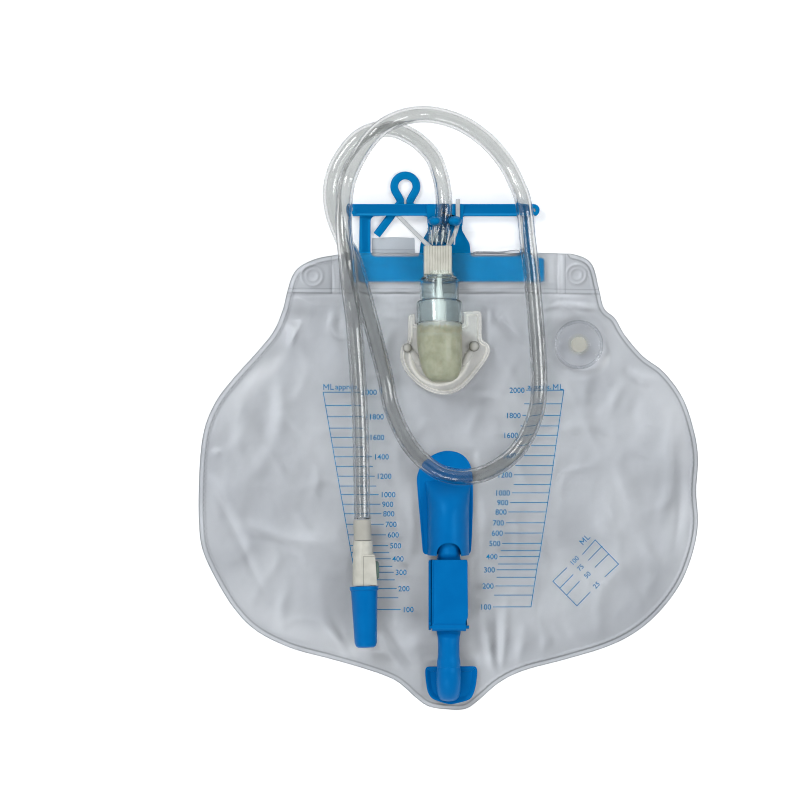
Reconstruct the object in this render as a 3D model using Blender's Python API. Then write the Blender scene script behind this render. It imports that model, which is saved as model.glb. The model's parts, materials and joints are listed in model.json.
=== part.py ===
"""A closed urine drainage bag with its inlet tube, lying on its back on a table.

Metres. The table is z = 0, +z comes out of the bag's front, +y points to the hanger and +x to the right as
the front is read. The origin is the middle of the bag's outline with its hook, on the table.
"""
import math

import bmesh
import bpy
from mathutils import Matrix, Vector
from mathutils.geometry import delaunay_2d_cdt

# Fit and film
GAP = 0.0003            # clearance between pieces that touch
FILM = 0.0004           # thickness of one PVC sheet
WELD = 0.0024           # width of the weld round the bag
PUFF = 0.0043           # height of the front sheet's underside over the air left in the bag
SLOPE = 0.016           # how far in from the weld the front sheet rises to that height
SEAM_SLOPE = 0.008      # the same below the sleeve's seam
SLEEVE_SEAM_Y = 0.0890  # seam that closes the hanger's sleeve from the bag
RIM = FILM + GAP        # height of the front sheet's underside at the weld
DECK = PUFF + FILM + GAP    # height at which pieces sit on the front sheet

# Hanger frame
BAR_LEFT, BAR_RIGHT = -0.0540, 0.0575
BAR_BOTTOM, BAR_TOP = 0.0957, 0.1107
BAR_THICK = 0.0030
POST_WIDTH = 0.0066
RAIL_TOP, RAIL_HEIGHT = 0.1421, 0.0071
RAIL_BOTTOM = RAIL_TOP - RAIL_HEIGHT
RAIL_LEFT, RAIL_RIGHT = -0.0575, 0.0512
RAIL_FRONT = 0.0071     # height of the rail's front face above the table
RAIL_WALL = 0.0017      # wall left in front of the hook's slot
COLUMN_X = -0.0020
COLUMN_WAIST = 0.0204
COLUMN_FOOT = 0.0312
COLUMN_NECK_Y, COLUMN_SHOULDER_Y = 0.1264, 0.1185     # where the column widens below the rail
CURL_RADIUS = 0.0030    # the curled cord hook on each end of the rail
CURL_THICK = 0.0019
CLIP_X, CLIP_Y, CLIP_Z = -0.0037, 0.1317, 0.0124
CLIP_BORE = 0.0059
CLIP_WALL = 0.0017
CLIP_LENGTH = 0.0054

# Bed hook
HOOK_X, HOOK_Y = -0.0291, RAIL_TOP - 0.0032
HOOK_WIDTH, HOOK_THICK = 0.0050, 0.0028
HOOK_FLOOR = 0.0007
HOOK_HUB = 0.0033
EYE_X, EYE_Y, EYE_RADIUS = HOOK_X + 0.0032, HOOK_Y + 0.0140, 0.0067
PIN_RADIUS = 0.0012

# Drip chamber and valve
CHAMBER_X, CHAMBER_Y, CHAMBER_Z = -0.0055, 0.0695, 0.0217
CHAMBER_TILT = math.radians(10.0)
CHAMBER_RADIUS, CHAMBER_NECK = 0.01365, 0.01155
CHAMBER_WALL = 0.0012
CHAMBER_BODY, CHAMBER_LENGTH = 0.0132, 0.0284
RING_RADIUS, RING_LENGTH = 0.0084, 0.0027
BLOCK_WIDTH, BLOCK_DEPTH, BLOCK_LENGTH = 0.0168, 0.0130, 0.0171
BLOCK_RIBS = 10
CUP_LENGTH = 0.0324
FLANGE_THICK = 0.0012
EAR_WIDTH = 0.0050      # plate left of the chamber
PEG_RADIUS, PEG_HEIGHT = 0.0028, 0.0052

# Tubes
TUBE_RADIUS = 0.0050
DRAIN_RADIUS, DRAIN_WALL = 0.0065, 0.0014
DRAIN_X = 0.0001

# Outlet boot
BOOT_NECK_Y, BOOT_NECK_Z = -0.1365, 0.0110
BOOT_LENGTH = 0.0227
BOOT_THICK = 0.0016

# Drain clamp
CLAMP_X, CLAMP_HALF = 0.0002, 0.0122
CLAMP_TOP_Y, HINGE_Y, HINGE_Z = -0.0717, -0.1115, 0.0169
PINCH_Y, PINCH_Z = -0.0900, 0.0109      # where the lever flattens the tube
TUCKED_Z = DECK + FLANGE_THICK + GAP + DRAIN_RADIUS + 0.0001    # the tube's middle inside the holster
CLAMP_WALL = 0.0014
BARREL_RADIUS = 0.0024
CLAMP_PIN = 0.0010

# Catheter connector
CONNECTOR_START = Vector((-0.0518, -0.0474, 0.0113))
CONNECTOR_END = Vector((-0.0495, -0.1233, 0.0158))
CAP_LENGTH, CAP_RIM = 0.0366, 0.00865

# Colours
BLUE = (0.0, 0.15, 0.52)
CLEAR = (0.80, 0.84, 0.86)
CREAM = (0.62, 0.61, 0.55)


def smoothstep(t):
    t = min(max(t, 0.0), 1.0)
    return t * t * (3.0 - 2.0 * t)


def material(name, colour, roughness, alpha=1.0):
    finish = bpy.data.materials.new(name)
    finish.use_nodes = True
    shader = finish.node_tree.nodes["Principled BSDF"]
    shader.inputs["Base Color"].default_value = (*colour, 1.0)
    shader.inputs["Roughness"].default_value = roughness
    shader.inputs["Metallic"].default_value = 0.0
    shader.inputs["Alpha"].default_value = alpha
    return finish


def add(name, bm, finish, origin=(0.0, 0.0, 0.0), parent=None, cutter=False):
    """Makes an object of a bmesh, with its origin at the given point of the bmesh's own frame."""
    bmesh.ops.remove_doubles(bm, verts=bm.verts, dist=1e-6)
    bmesh.ops.recalc_face_normals(bm, faces=bm.faces)
    bmesh.ops.translate(bm, verts=bm.verts, vec=-Vector(origin))
    mesh = bpy.data.meshes.new(name)
    bm.to_mesh(mesh)
    bm.free()
    mesh.shade_smooth()
    mesh.set_sharp_from_angle(angle=math.radians(35))
    piece = bpy.data.objects.new(name, mesh)
    piece.location = origin
    piece.parent = parent
    bpy.context.scene.collection.objects.link(piece)
    if finish:
        mesh.materials.append(finish)
    if cutter:
        piece.hide_render = True
        piece.display_type = "WIRE"
    return piece


def combine(piece, other, operation):
    """Adds a Boolean with another object, which stays out of the model."""
    other.hide_render = True
    other.display_type = "WIRE"
    step = piece.modifiers.new(operation.lower(), "BOOLEAN")
    step.operation = operation
    step.object = other


def smooth_curve(points, steps, closed=False):
    """Points along the smooth curve that passes through the given ones."""
    points = [Vector(p) for p in points]
    count = len(points)
    result = []
    for i in range(count if closed else count - 1):
        near = [i - 1, i, i + 1, i + 2]
        near = [k % count if closed else min(max(k, 0), count - 1) for k in near]
        p0, p1, p2, p3 = (points[k] for k in near)
        for step in range(steps):
            t = step / steps
            bend = (2 * p0 - 5 * p1 + 4 * p2 - p3) * t * t + (3 * p1 - p0 - 3 * p2 + p3) * t ** 3
            result.append(0.5 * (2 * p1 + (p2 - p0) * t + bend))
    if not closed:
        result.append(points[-1])
    return result


def even_points(points, count, closed=False):
    """Reads a chain of points again at an even spacing."""
    chain = points + points[:1] if closed else points
    reach = [0.0]
    for a, b in zip(chain, chain[1:]):
        reach.append(reach[-1] + (b - a).length)
    spans = count if closed else count - 1
    result = []
    k = 0
    for i in range(count):
        goal = reach[-1] * i / spans
        while k < len(chain) - 2 and reach[k + 1] < goal:
            k += 1
        share = (goal - reach[k]) / (reach[k + 1] - reach[k])
        result.append(chain[k].lerp(chain[k + 1], share))
    return result


def rounded(corners, segments=4):
    """An outline of (x, y, radius) corners, each rounded by an arc."""
    result = []
    count = len(corners)
    for i, (x, y, radius) in enumerate(corners):
        here = Vector((x, y))
        before = (Vector(corners[i - 1][:2]) - here).normalized()
        after = (Vector(corners[(i + 1) % count][:2]) - here).normalized()
        half = before.angle(after) / 2
        if radius <= 0.0 or half > math.radians(89):
            result.append(here)
            continue
        cut = radius / math.tan(half)
        centre = here + (before + after).normalized() * (radius / math.sin(half))
        start = here + before * cut - centre
        sweep = (here + after * cut - centre).angle_signed(start)
        for k in range(segments + 1):
            turn = Matrix.Rotation(sweep * k / segments, 2)
            result.append(centre + turn @ start)
    return result


def circle(x, y, radius, count=24):
    turns = [2 * math.pi * k / count for k in range(count)]
    return [Vector((x + radius * math.cos(t), y + radius * math.sin(t))) for t in turns]


def slab(loops, low, high, rim=0.0, dish=0.0):
    """A plate between two heights, from an outline and its holes, with its top sunk inside a raised rim."""
    bm = bmesh.new()
    edges = []
    for loop in loops:
        verts = [bm.verts.new((p[0], p[1], low)) for p in loop]
        edges += [bm.edges.new(pair) for pair in zip(verts, verts[1:] + verts[:1])]
    bmesh.ops.triangle_fill(bm, use_beauty=True, use_dissolve=False, edges=edges)
    top = bmesh.ops.extrude_face_region(bm, geom=bm.faces[:])["geom"]
    raised = [v for v in top if isinstance(v, bmesh.types.BMVert)]
    bmesh.ops.translate(bm, verts=raised, vec=(0, 0, high - low))
    bmesh.ops.recalc_face_normals(bm, faces=bm.faces)
    if rim > 0.0:
        faces = [f for f in top if isinstance(f, bmesh.types.BMFace)]
        bmesh.ops.inset_region(bm, faces=faces, use_boundary=True, use_even_offset=True, thickness=rim)
        bmesh.ops.translate(bm, verts=list({v for f in faces for v in f.verts}), vec=(0, 0, -dish))
    return bm


def box(x0, x1, y0, y1, z0, z1):
    return slab([[(x0, y0), (x1, y0), (x1, y1), (x0, y1)]], z0, z1)


def turned(profile, steps=32):
    """A closed profile of (radius, height) points turned about the local y axis."""
    bm = bmesh.new()
    verts = [bm.verts.new((radius, height, 0.0)) for radius, height in profile]
    edges = [bm.edges.new(pair) for pair in zip(verts, verts[1:] + verts[:1])]
    hollow = all(radius > 0.0 for radius, height in profile)
    if not hollow:
        bm.edges.remove(edges.pop())
    bmesh.ops.spin(bm, geom=verts + edges, cent=(0, 0, 0), axis=(0, 1, 0), angle=2 * math.pi, steps=steps,
                   use_merge=True)
    return bm


def upright(bm, x, y, z):
    """Stands a turned shape up, with its axis along z, on the given point."""
    bmesh.ops.rotate(bm, verts=bm.verts, cent=(0, 0, 0), matrix=Matrix.Rotation(math.radians(90), 3, "X"))
    bmesh.ops.translate(bm, verts=bm.verts, vec=(x, y, z))
    return bm


def lofted(rings, looped=False):
    """A skin through rings of points: a closed pipe wall where it is looped, else a solid with filled ends."""
    bm = bmesh.new()
    loops = []
    for ring in rings:
        verts = [bm.verts.new(p) for p in ring]
        loops.append([bm.edges.new(pair) for pair in zip(verts, verts[1:] + verts[:1])])
    pairs = list(zip(loops, loops[1:]))
    if looped:
        pairs.append((loops[-1], loops[0]))
    for first, second in pairs:
        bmesh.ops.bridge_loops(bm, edges=first + second)
    if not looped:
        for loop in (loops[0], loops[-1]):
            bmesh.ops.contextual_create(bm, geom=loop)
    return bm


def hull(points):
    bm = bmesh.new()
    for point in points:
        bm.verts.new(point)
    result = bmesh.ops.convex_hull(bm, input=bm.verts)
    loose = [g for g in result["geom_interior"] + result["geom_unused"] if isinstance(g, bmesh.types.BMVert)]
    bmesh.ops.delete(bm, geom=list(set(loose)), context="VERTS")
    return bm


def rod(name, points, radius, resolution, finish):
    """A round rod along a chain of points, as a bevelled curve with filled ends."""
    curve = bpy.data.curves.new(name, "CURVE")
    curve.dimensions = "3D"
    curve.bevel_depth = radius
    curve.bevel_resolution = resolution
    curve.render_resolution_u = 0
    curve.use_fill_caps = True
    spline = curve.splines.new("POLY")
    spline.points.add(len(points) - 1)
    for target, point in zip(spline.points, points):
        target.co = (*point, 1.0)
    curve.materials.append(finish)
    piece = bpy.data.objects.new(name, curve)
    bpy.context.scene.collection.objects.link(piece)
    return piece


for leftover in list(bpy.data.objects):
    bpy.data.objects.remove(leftover)

film_finish = material("clear film", (0.60, 0.65, 0.70), 0.25, 0.5)
blue = material("blue plastic", BLUE, 0.35)
clear = material("clear plastic", CLEAR, 0.12, 0.4)
cream = material("cream plastic", CREAM, 0.45)
amber = material("amber soft plastic", (0.38, 0.38, 0.26), 0.3, 0.7)
rubber = material("grey rubber", (0.13, 0.19, 0.16), 0.7)

# Bag films
BAG_WIDTH = 0.3008      # across the widest place, the width that the outline below is given for
OUTLINE_WIDTH = 0.3008
BAG_OUTLINE = [
    (-0.0669, 0.1119), (-0.0795, 0.1095), (-0.0891, 0.1050), (-0.0939, 0.0993),
    (-0.0969, 0.0903), (-0.0999, 0.0783), (-0.1053, 0.0657), (-0.1143, 0.0543), (-0.1299, 0.0369),
    (-0.1395, 0.0243), (-0.1461, 0.0099), (-0.1491, -0.0057), (-0.1503, -0.0267), (-0.1503, -0.0477),
    (-0.1485, -0.0645), (-0.1413, -0.0813), (-0.1293, -0.1011), (-0.1155, -0.1149), (-0.0951, -0.1251),
    (-0.0711, -0.1317), (-0.0483, -0.1383), (-0.0315, -0.1449), (-0.0201, -0.1545), (-0.0120, -0.1602),
    (-0.0003, -0.1621), (0.0105, -0.1617), (0.0189, -0.1560), (0.0309, -0.1458), (0.0459, -0.1386),
    (0.0717, -0.1317), (0.0969, -0.1239), (0.1149, -0.1143), (0.1293, -0.1011), (0.1407, -0.0849),
    (0.1479, -0.0657), (0.1505, -0.0489), (0.1494, -0.0309), (0.1505, -0.0105), (0.1479, 0.0063),
    (0.1413, 0.0255), (0.1299, 0.0411), (0.1173, 0.0507), (0.1065, 0.0633), (0.1005, 0.0735),
    (0.0939, 0.0795), (0.0909, 0.0909), (0.0876, 0.1041), (0.0825, 0.1098), (0.0741, 0.1125),
]
VENT_X, VENT_Y, VENT_RADIUS = 0.0785, 0.0576, 0.0150
VENT_DECK = 0.0026      # the front sheet's top under the vent
BOOT_DECK = 0.0020      # and under the outlet boot
BOOT_X, BOOT_Y = 0.0014, -0.1470
BOOT_PAD = (0.0230, 0.0170)     # half-axes of the flattened oval the boot sits on
VALVE_HOLE = (CHAMBER_X, CHAMBER_Y - 0.5 * CUP_LENGTH, 0.0090)
VENT_HOLE = (VENT_X, VENT_Y, 0.0040)
OUTLET_HOLE = (DRAIN_X, BOOT_NECK_Y - 0.0080, 0.0040)
FILM_POINTS = 112
FILM_GRID = 0.0130
EDGE_ROWS = (0.0024, 0.0060, 0.0105, 0.0160)

outline = [(x * BAG_WIDTH / OUTLINE_WIDTH, y) for x, y in BAG_OUTLINE]
weld_line = even_points(smooth_curve(outline, 6), FILM_POINTS)
bar_columns = [BAR_LEFT - 0.0055, BAR_LEFT - GAP] + [BAR_LEFT + 0.0086 * k for k in range(1, 13)]
bar_columns += [BAR_RIGHT + GAP, BAR_RIGHT + 0.0055]
rim_line = weld_line + [Vector((x, 0.1128)) for x in reversed(bar_columns)]


def edge_distance(point):
    """Distance from the welded edge: the top edge over the hanger is open."""
    best = 1.0
    for a, b in zip(weld_line, weld_line[1:]):
        run = b - a
        share = min(max((point - a).dot(run) / run.length_squared, 0.0), 1.0)
        best = min(best, (a + run * share - point).length)
    return best


def front_sheet(point):
    """Height of the front sheet's underside: flat at welds, lifted by the hanger's bar or by the air below."""
    x, y = point
    if y > SLEEVE_SEAM_Y:
        beside = max(BAR_LEFT - x, x - BAR_RIGHT, 0.0)
        below = max(BAR_BOTTOM - y, 0.0)
        lift = smoothstep(1.0 - (math.hypot(beside, below) - 2 * GAP) / 0.005)
        return RIM + (HOOK_FLOOR + BAR_THICK + GAP - RIM) * lift
    lift = smoothstep((edge_distance(point) - WELD) / SLOPE)
    lift = min(lift, smoothstep((SLEEVE_SEAM_Y - y) / SEAM_SLOPE))
    height = RIM + (PUFF - RIM) * lift
    vent = smoothstep((math.hypot(x - VENT_X, y - VENT_Y) - VENT_RADIUS - 0.001) / 0.006)
    height = VENT_DECK - FILM + (height - VENT_DECK + FILM) * vent
    boot = smoothstep((math.hypot((x - BOOT_X) / BOOT_PAD[0], (y - BOOT_Y) / BOOT_PAD[1]) - 1.0) / 0.35)
    return BOOT_DECK - FILM + (height - BOOT_DECK + FILM) * boot if boot < 1.0 else height


def inside(point, loop):
    crossed = False
    for a, b in zip(loop, loop[1:] + loop[:1]):
        if (a.y > point.y) != (b.y > point.y) and point.x < a.x + (b.x - a.x) * (point.y - a.y) / (b.y - a.y):
            crossed = not crossed
    return crossed


def front_film():
    """The front sheet: rows of points that follow the weld, a coarse grid over the middle, and three holes."""
    holes = [circle(*spot, count=16) for spot in (VALVE_HOLE, VENT_HOLE, OUTLET_HOLE)]
    points = list(rim_line)
    edges = [(i, (i + 1) % len(points)) for i in range(len(points))]
    for hole in holes:
        first = len(points)
        points += hole
        edges += [(first + i, first + (i + 1) % len(hole)) for i in range(len(hole))]
    inner = []
    for before, here, after in zip(weld_line, weld_line[1:], weld_line[2:]):
        normal = Vector((before.y - after.y, after.x - before.x)).normalized()
        inner += [here + normal * row for row in EDGE_ROWS if row < EDGE_ROWS[-1] or here.y < SLEEVE_SEAM_Y]
    pads = circle(VENT_X, VENT_Y, VENT_RADIUS + 0.001, 20) + circle(VENT_X, VENT_Y, VENT_RADIUS + 0.007, 20)
    for share in (0.6, 1.0, 1.35):
        ring = circle(0, 0, share, 24)
        pads += [Vector((BOOT_X + BOOT_PAD[0] * p.x, BOOT_Y + BOOT_PAD[1] * p.y)) for p in ring]
    inner = pads + inner
    rows = (0.1040, BAR_BOTTOM - GAP, BAR_BOTTOM - 0.0054, SLEEVE_SEAM_Y, SLEEVE_SEAM_Y - SEAM_SLOPE)
    inner = [Vector((x, y)) for x in bar_columns for y in rows] + inner
    rows = math.ceil(0.15 / FILM_GRID)
    for i in range(-rows, rows + 1):
        for j in range(-rows, rows + 1):
            spot = Vector(((i + 0.5 * (j % 2)) * FILM_GRID, j * FILM_GRID))
            if inside(spot, rim_line) and edge_distance(spot) > EDGE_ROWS[-1] + 0.006:
                inner.append(spot)
    kept = []
    for spot in inner:
        clear_of_holes = all((spot - Vector(h[:2])).length > h[2] + 0.0015 for h in
                             (VALVE_HOLE, VENT_HOLE, OUTLET_HOLE))
        if clear_of_holes and inside(spot, rim_line) and all((spot - k).length > 0.0022 for k in kept):
            if edge_distance(spot) > 0.0020 or spot.y > SLEEVE_SEAM_Y:
                kept.append(spot)
    flat, _, faces, _, _, _ = delaunay_2d_cdt(points + kept, edges, [], 2, 1e-6)
    bm = bmesh.new()
    verts = [bm.verts.new((p.x, p.y, front_sheet(p))) for p in flat]
    for face in faces:
        bm.faces.new([verts[i] for i in face])
    bmesh.ops.delete(bm, geom=[v for v in bm.verts if not v.link_faces], context="VERTS")
    top = bmesh.ops.extrude_face_region(bm, geom=bm.faces[:])["geom"]
    bmesh.ops.translate(bm, verts=[v for v in top if isinstance(v, bmesh.types.BMVert)], vec=(0, 0, FILM))
    add("bag_front_film", bm, film_finish)


def back_film():
    """The rear sheet lies flat on the table, with the tab that shows in the hanger's left window."""
    tab = rounded([(-0.0200, 0.1128, 0.0), (-0.0200, 0.1224, 0.0015), (-0.0462, 0.1224, 0.0015),
                   (-0.0462, 0.1128, 0.0)])
    add("bag_back_film", slab([weld_line + tab], 0.0, FILM), film_finish)


back_film()
front_film()


# Hanger frame: one blue moulding with a bar in the bag's sleeve, two posts, a column with the tube clip and
# a rail that ends in curled cord hooks
def curl(side, x):
    """The hook at one end of the rail: a flat arc that turns down and back in."""
    centre = Vector((x, RAIL_TOP - CURL_RADIUS))
    turns = [math.radians(90 - 22.5 * k) for k in range(11)]
    outer = [centre + CURL_RADIUS * Vector((side * math.cos(t), math.sin(t))) for t in turns]
    reach = CURL_RADIUS - CURL_THICK
    inner = [centre + reach * Vector((side * math.cos(t), math.sin(t))) for t in reversed(turns)]
    return slab([outer + inner], HOOK_FLOOR, RAIL_FRONT)


def hanger_frame():
    left, right = BAR_LEFT + 0.0006, BAR_RIGHT - 0.0076
    outline = rounded([
        (BAR_LEFT, BAR_BOTTOM, 0.001), (BAR_RIGHT, BAR_BOTTOM, 0.001), (BAR_RIGHT, BAR_TOP - 0.0012, 0.001),
        (right, BAR_TOP, 0.002), (right, RAIL_TOP, 0.001), (left, RAIL_TOP, 0.001)])
    window_top, window_bottom = RAIL_BOTTOM, BAR_TOP
    waist, foot = COLUMN_WAIST / 2, COLUMN_FOOT / 2
    windows = []
    for side, post in ((-1, left + POST_WIDTH), (1, right - POST_WIDTH)):
        windows.append(rounded([
            (post, window_bottom, 0.0028), (post, window_top, 0.0028),
            (COLUMN_X + side * waist, window_top, 0.0020),
            (COLUMN_X + side * waist, COLUMN_NECK_Y, 0.0040),
            (COLUMN_X + side * foot * 0.95, COLUMN_SHOULDER_Y, 0.0040),
            (COLUMN_X + side * foot, window_bottom, 0.0012)]))
    ladder = slab([outline] + windows, HOOK_FLOOR, HOOK_FLOOR + BAR_THICK, 0.0012, 0.0005)
    frame = add("hanger_frame", ladder, blue)
    rail = slab([[(RAIL_LEFT, RAIL_BOTTOM), (RAIL_RIGHT, RAIL_BOTTOM), (RAIL_RIGHT, RAIL_TOP),
                  (RAIL_LEFT, RAIL_TOP)]], HOOK_FLOOR, RAIL_FRONT, 0.0013, 0.0004)
    combine(frame, add("rail body", rail, None, cutter=True), "UNION")
    for name, side, x in (("left curl", -1, RAIL_LEFT), ("right curl", 1, RAIL_RIGHT)):
        combine(frame, add(name, curl(side, x), None, cutter=True), "UNION")
    narrow, wide = waist + 0.0002, waist + 0.0011
    foot_y, head_y = CLIP_Y - 0.0030, RAIL_TOP - 0.0003
    pedestal = slab([rounded([(COLUMN_X - narrow, foot_y, 0.001), (COLUMN_X + narrow, foot_y, 0.001),
                              (COLUMN_X + wide, head_y, 0.001), (COLUMN_X - wide, head_y, 0.001)])],
                    HOOK_FLOOR + 0.001, RAIL_FRONT)
    combine(frame, add("clip pedestal", pedestal, None, cutter=True), "UNION")
    # The clip is an open ring that grips the tube from behind
    mouth = math.radians(50)
    turns = [math.pi / 2 + mouth + (2 * math.pi - 2 * mouth) * k / 18 for k in range(19)]
    outer = [Vector((math.cos(t), math.sin(t))) * (CLIP_BORE + CLIP_WALL) for t in turns]
    inner = [Vector((math.cos(t), math.sin(t))) * CLIP_BORE for t in reversed(turns)]
    clip = slab([outer + inner], -CLIP_LENGTH / 2, CLIP_LENGTH / 2)
    bmesh.ops.rotate(clip, verts=clip.verts, cent=(0, 0, 0), matrix=Matrix.Rotation(math.radians(90), 3, "X"))
    bmesh.ops.translate(clip, verts=clip.verts, vec=(CLIP_X, CLIP_Y, CLIP_Z))
    combine(frame, add("tube clip", clip, None, cutter=True), "UNION")
    # The slot behind the rail that the hook turns in, and the blind hole for its pin
    slot = box(HOOK_X - 0.0124, HOOK_X + 0.0144, RAIL_BOTTOM - 0.0004, RAIL_TOP + 0.001, 0.0,
               RAIL_FRONT - RAIL_WALL)
    combine(frame, add("hook slot", slot, None, cutter=True), "DIFFERENCE")
    hole = slab([circle(HOOK_X, HOOK_Y, PIN_RADIUS + GAP, 16)], RAIL_FRONT - RAIL_WALL - 0.001,
                RAIL_FRONT - 0.0010)
    combine(frame, add("pin hole", hole, None, cutter=True), "DIFFERENCE")


hanger_frame()


# Bed hook: a flattened rod bent into an eye with two legs, riveted behind the rail
def hook_section(here, along):
    across = Vector((along.y, -along.x, 0.0)).normalized()
    middle = Vector((here[0], here[1], HOOK_FLOOR + HOOK_THICK / 2))
    ring = []
    for k in range(10):
        t = 2 * math.pi * (k + 0.5) / 10
        wide = math.copysign(abs(math.cos(t)) ** 0.7, math.cos(t)) * HOOK_WIDTH / 2
        high = math.copysign(abs(math.sin(t)) ** 0.6, math.sin(t)) * HOOK_THICK / 2
        ring.append(middle + across * wide + Vector((0, 0, high)))
    return ring


def bed_hook():
    eye = [math.radians(-34 + 248 * k / 12) for k in range(13)]
    right_leg = [(0.0102, -0.0024), (0.0074, 0.0015), (0.0056, 0.0044)]
    left_leg = [(0.0006, 0.0048), (-0.0014, 0.0022), (-0.0053, -0.0036), (-0.0141, -0.0153)]
    path = [(HOOK_X + x, HOOK_Y + y) for x, y in right_leg]
    path += [(EYE_X + EYE_RADIUS * math.cos(t), EYE_Y + EYE_RADIUS * math.sin(t)) for t in eye]
    path += [(HOOK_X + x, HOOK_Y + y) for x, y in left_leg]
    path = [Vector((x, y, 0.0)) for x, y in path]
    path = path[:1] + smooth_curve(path[1:-1], 2) + path[-1:]
    rings = []
    for i, here in enumerate(path):
        along = path[min(i + 1, len(path) - 1)] - path[max(i - 1, 0)]
        rings.append(hook_section(here, along))
    pivot = (HOOK_X, HOOK_Y, HOOK_FLOOR)
    hook = add("bed_hook", lofted(rings), blue, origin=pivot)
    hub = slab([circle(HOOK_X, HOOK_Y, HOOK_HUB)], HOOK_FLOOR, HOOK_FLOOR + HOOK_THICK)
    combine(hook, add("hook hub", hub, None, cutter=True), "UNION")
    bore = slab([circle(HOOK_X, HOOK_Y, PIN_RADIUS + GAP, 16)], 0.0, RAIL_FRONT)
    combine(hook, add("hook bore", bore, None, cutter=True), "DIFFERENCE")
    head = slab([circle(HOOK_X, HOOK_Y, 0.0024, 16)], 0.0, HOOK_FLOOR + 0.0011)
    combine(hook, add("hook counterbore", head, None, cutter=True), "DIFFERENCE")


def hook_pin():
    floor = HOOK_FLOOR + 0.0001
    profile = [(0.0, floor), (0.0021, floor), (0.0021, floor + 0.0007), (PIN_RADIUS, floor + 0.0007),
               (PIN_RADIUS, RAIL_FRONT - 0.0013), (0.0, RAIL_FRONT - 0.0013)]
    add("hook_pin", upright(turned(profile, 16), HOOK_X, HOOK_Y, 0.0), blue, origin=(HOOK_X, HOOK_Y, floor))


bed_hook()
hook_pin()

# Drip chamber, cap and valve, built along the chamber's own axis: +y runs up it, from its lower rim
axis = bpy.data.objects.new("chamber_axis", None)
axis.location = (CHAMBER_X, CHAMBER_Y, CHAMBER_Z)
axis.rotation_euler = (-CHAMBER_TILT, 0.0, 0.0)
bpy.context.scene.collection.objects.link(axis)

RING_TOP = CHAMBER_LENGTH + GAP + RING_LENGTH
BLOCK_FOOT = RING_TOP + GAP
BLOCK_TOP = BLOCK_FOOT + BLOCK_LENGTH


def drip_chamber():
    wall = CHAMBER_WALL
    mouth = 0.0072
    profile = [
        (CHAMBER_RADIUS - wall, 0.0), (CHAMBER_RADIUS, 0.0), (CHAMBER_RADIUS, CHAMBER_BODY),
        (CHAMBER_NECK + 0.0004, CHAMBER_BODY + 0.0009), (CHAMBER_NECK, CHAMBER_BODY + 0.0016),
        (CHAMBER_NECK, CHAMBER_LENGTH - 0.0014), (CHAMBER_NECK - 0.0010, CHAMBER_LENGTH),
        (mouth, CHAMBER_LENGTH), (mouth, CHAMBER_LENGTH - wall),
        (CHAMBER_NECK - wall, CHAMBER_LENGTH - wall - 0.001),
        (CHAMBER_NECK - wall, CHAMBER_BODY + 0.0008), (CHAMBER_RADIUS - wall, CHAMBER_BODY - 0.0006)]
    add("drip_chamber", turned(profile, 36), clear, parent=axis)


def chamber_ring():
    low, high = CHAMBER_LENGTH + GAP, RING_TOP
    profile = [(0.0018, low), (RING_RADIUS - 0.0006, low), (RING_RADIUS, low + 0.0006),
               (RING_RADIUS, high - 0.0004), (RING_RADIUS - 0.0004, high), (0.0018, high)]
    add("cap_ring", turned(profile, 28), clear, parent=axis)


def drip_nozzle():
    top, foot = RING_TOP, -0.0027
    profile = [
        (0.0007, top), (0.0014, top), (0.0016, 0.0240), (0.0024, 0.0148), (0.0040, 0.0138),
        (0.0040, foot + 0.0006), (0.0036, foot), (0.0030, foot), (0.0030, 0.0125), (0.0012, 0.0140),
        (0.0007, 0.0240)]
    add("drip_nozzle", turned(profile, 20), cream, parent=axis)


def chamber_cap():
    """The white grip block: ribs down its front and back, and a bore for the urine."""
    half, deep = BLOCK_WIDTH / 2, BLOCK_DEPTH / 2
    pitch = BLOCK_WIDTH / (BLOCK_RIBS + 0.5)
    groove = 0.0005
    front = []
    for k in range(BLOCK_RIBS):
        left = -half + pitch * (k + 0.25)
        front += [(left, deep - groove), (left + pitch * 0.2, deep), (left + pitch * 0.8, deep)]
    front.append((left + pitch, deep - groove))
    outline = [(-half, -deep + 0.001)] + [(-half, deep - 0.001)] + front + [(half, deep - 0.001),
                                                                          (half, -deep + 0.001)]
    outline += [(x, -y) for x, y in reversed(front)]
    bm = slab([outline, circle(0, 0, 0.0020, 12)], 0.0, BLOCK_LENGTH)
    bmesh.ops.rotate(bm, verts=bm.verts, cent=(0, 0, 0), matrix=Matrix.Rotation(math.radians(-90), 3, "X"))
    bmesh.ops.translate(bm, verts=bm.verts, vec=(0, BLOCK_FOOT, 0))
    add("chamber_cap", bm, cream, parent=axis)


def cap_collar():
    """The clear ribbed collar on the block that the inlet tube is gripped by."""
    low, high = BLOCK_TOP + GAP, BLOCK_TOP + 0.0098
    bore = TUBE_RADIUS + 0.0006
    profile = [(bore, low), (bore + 0.0009, low), (bore + 0.0009, low + 0.0050), (bore + 0.0005, low + 0.0056),
               (bore, low + 0.0056)]
    collar = add("cap_collar", turned(profile, 24), clear, parent=axis)
    for k in range(10):
        turn = Matrix.Rotation(2 * math.pi * k / 10, 3, "Y")
        fin = slab([[(0.0062, low + 0.0018), (0.0079, low + 0.0022), (0.0074, high), (0.0066, high),
                     (0.0063, low + 0.0052)]], -0.0004, 0.0004)
        bmesh.ops.rotate(fin, verts=fin.verts, cent=(0, 0, 0), matrix=turn)
        combine(collar, add(f"collar fin {k}", fin, None, parent=axis, cutter=True), "UNION")


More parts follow.
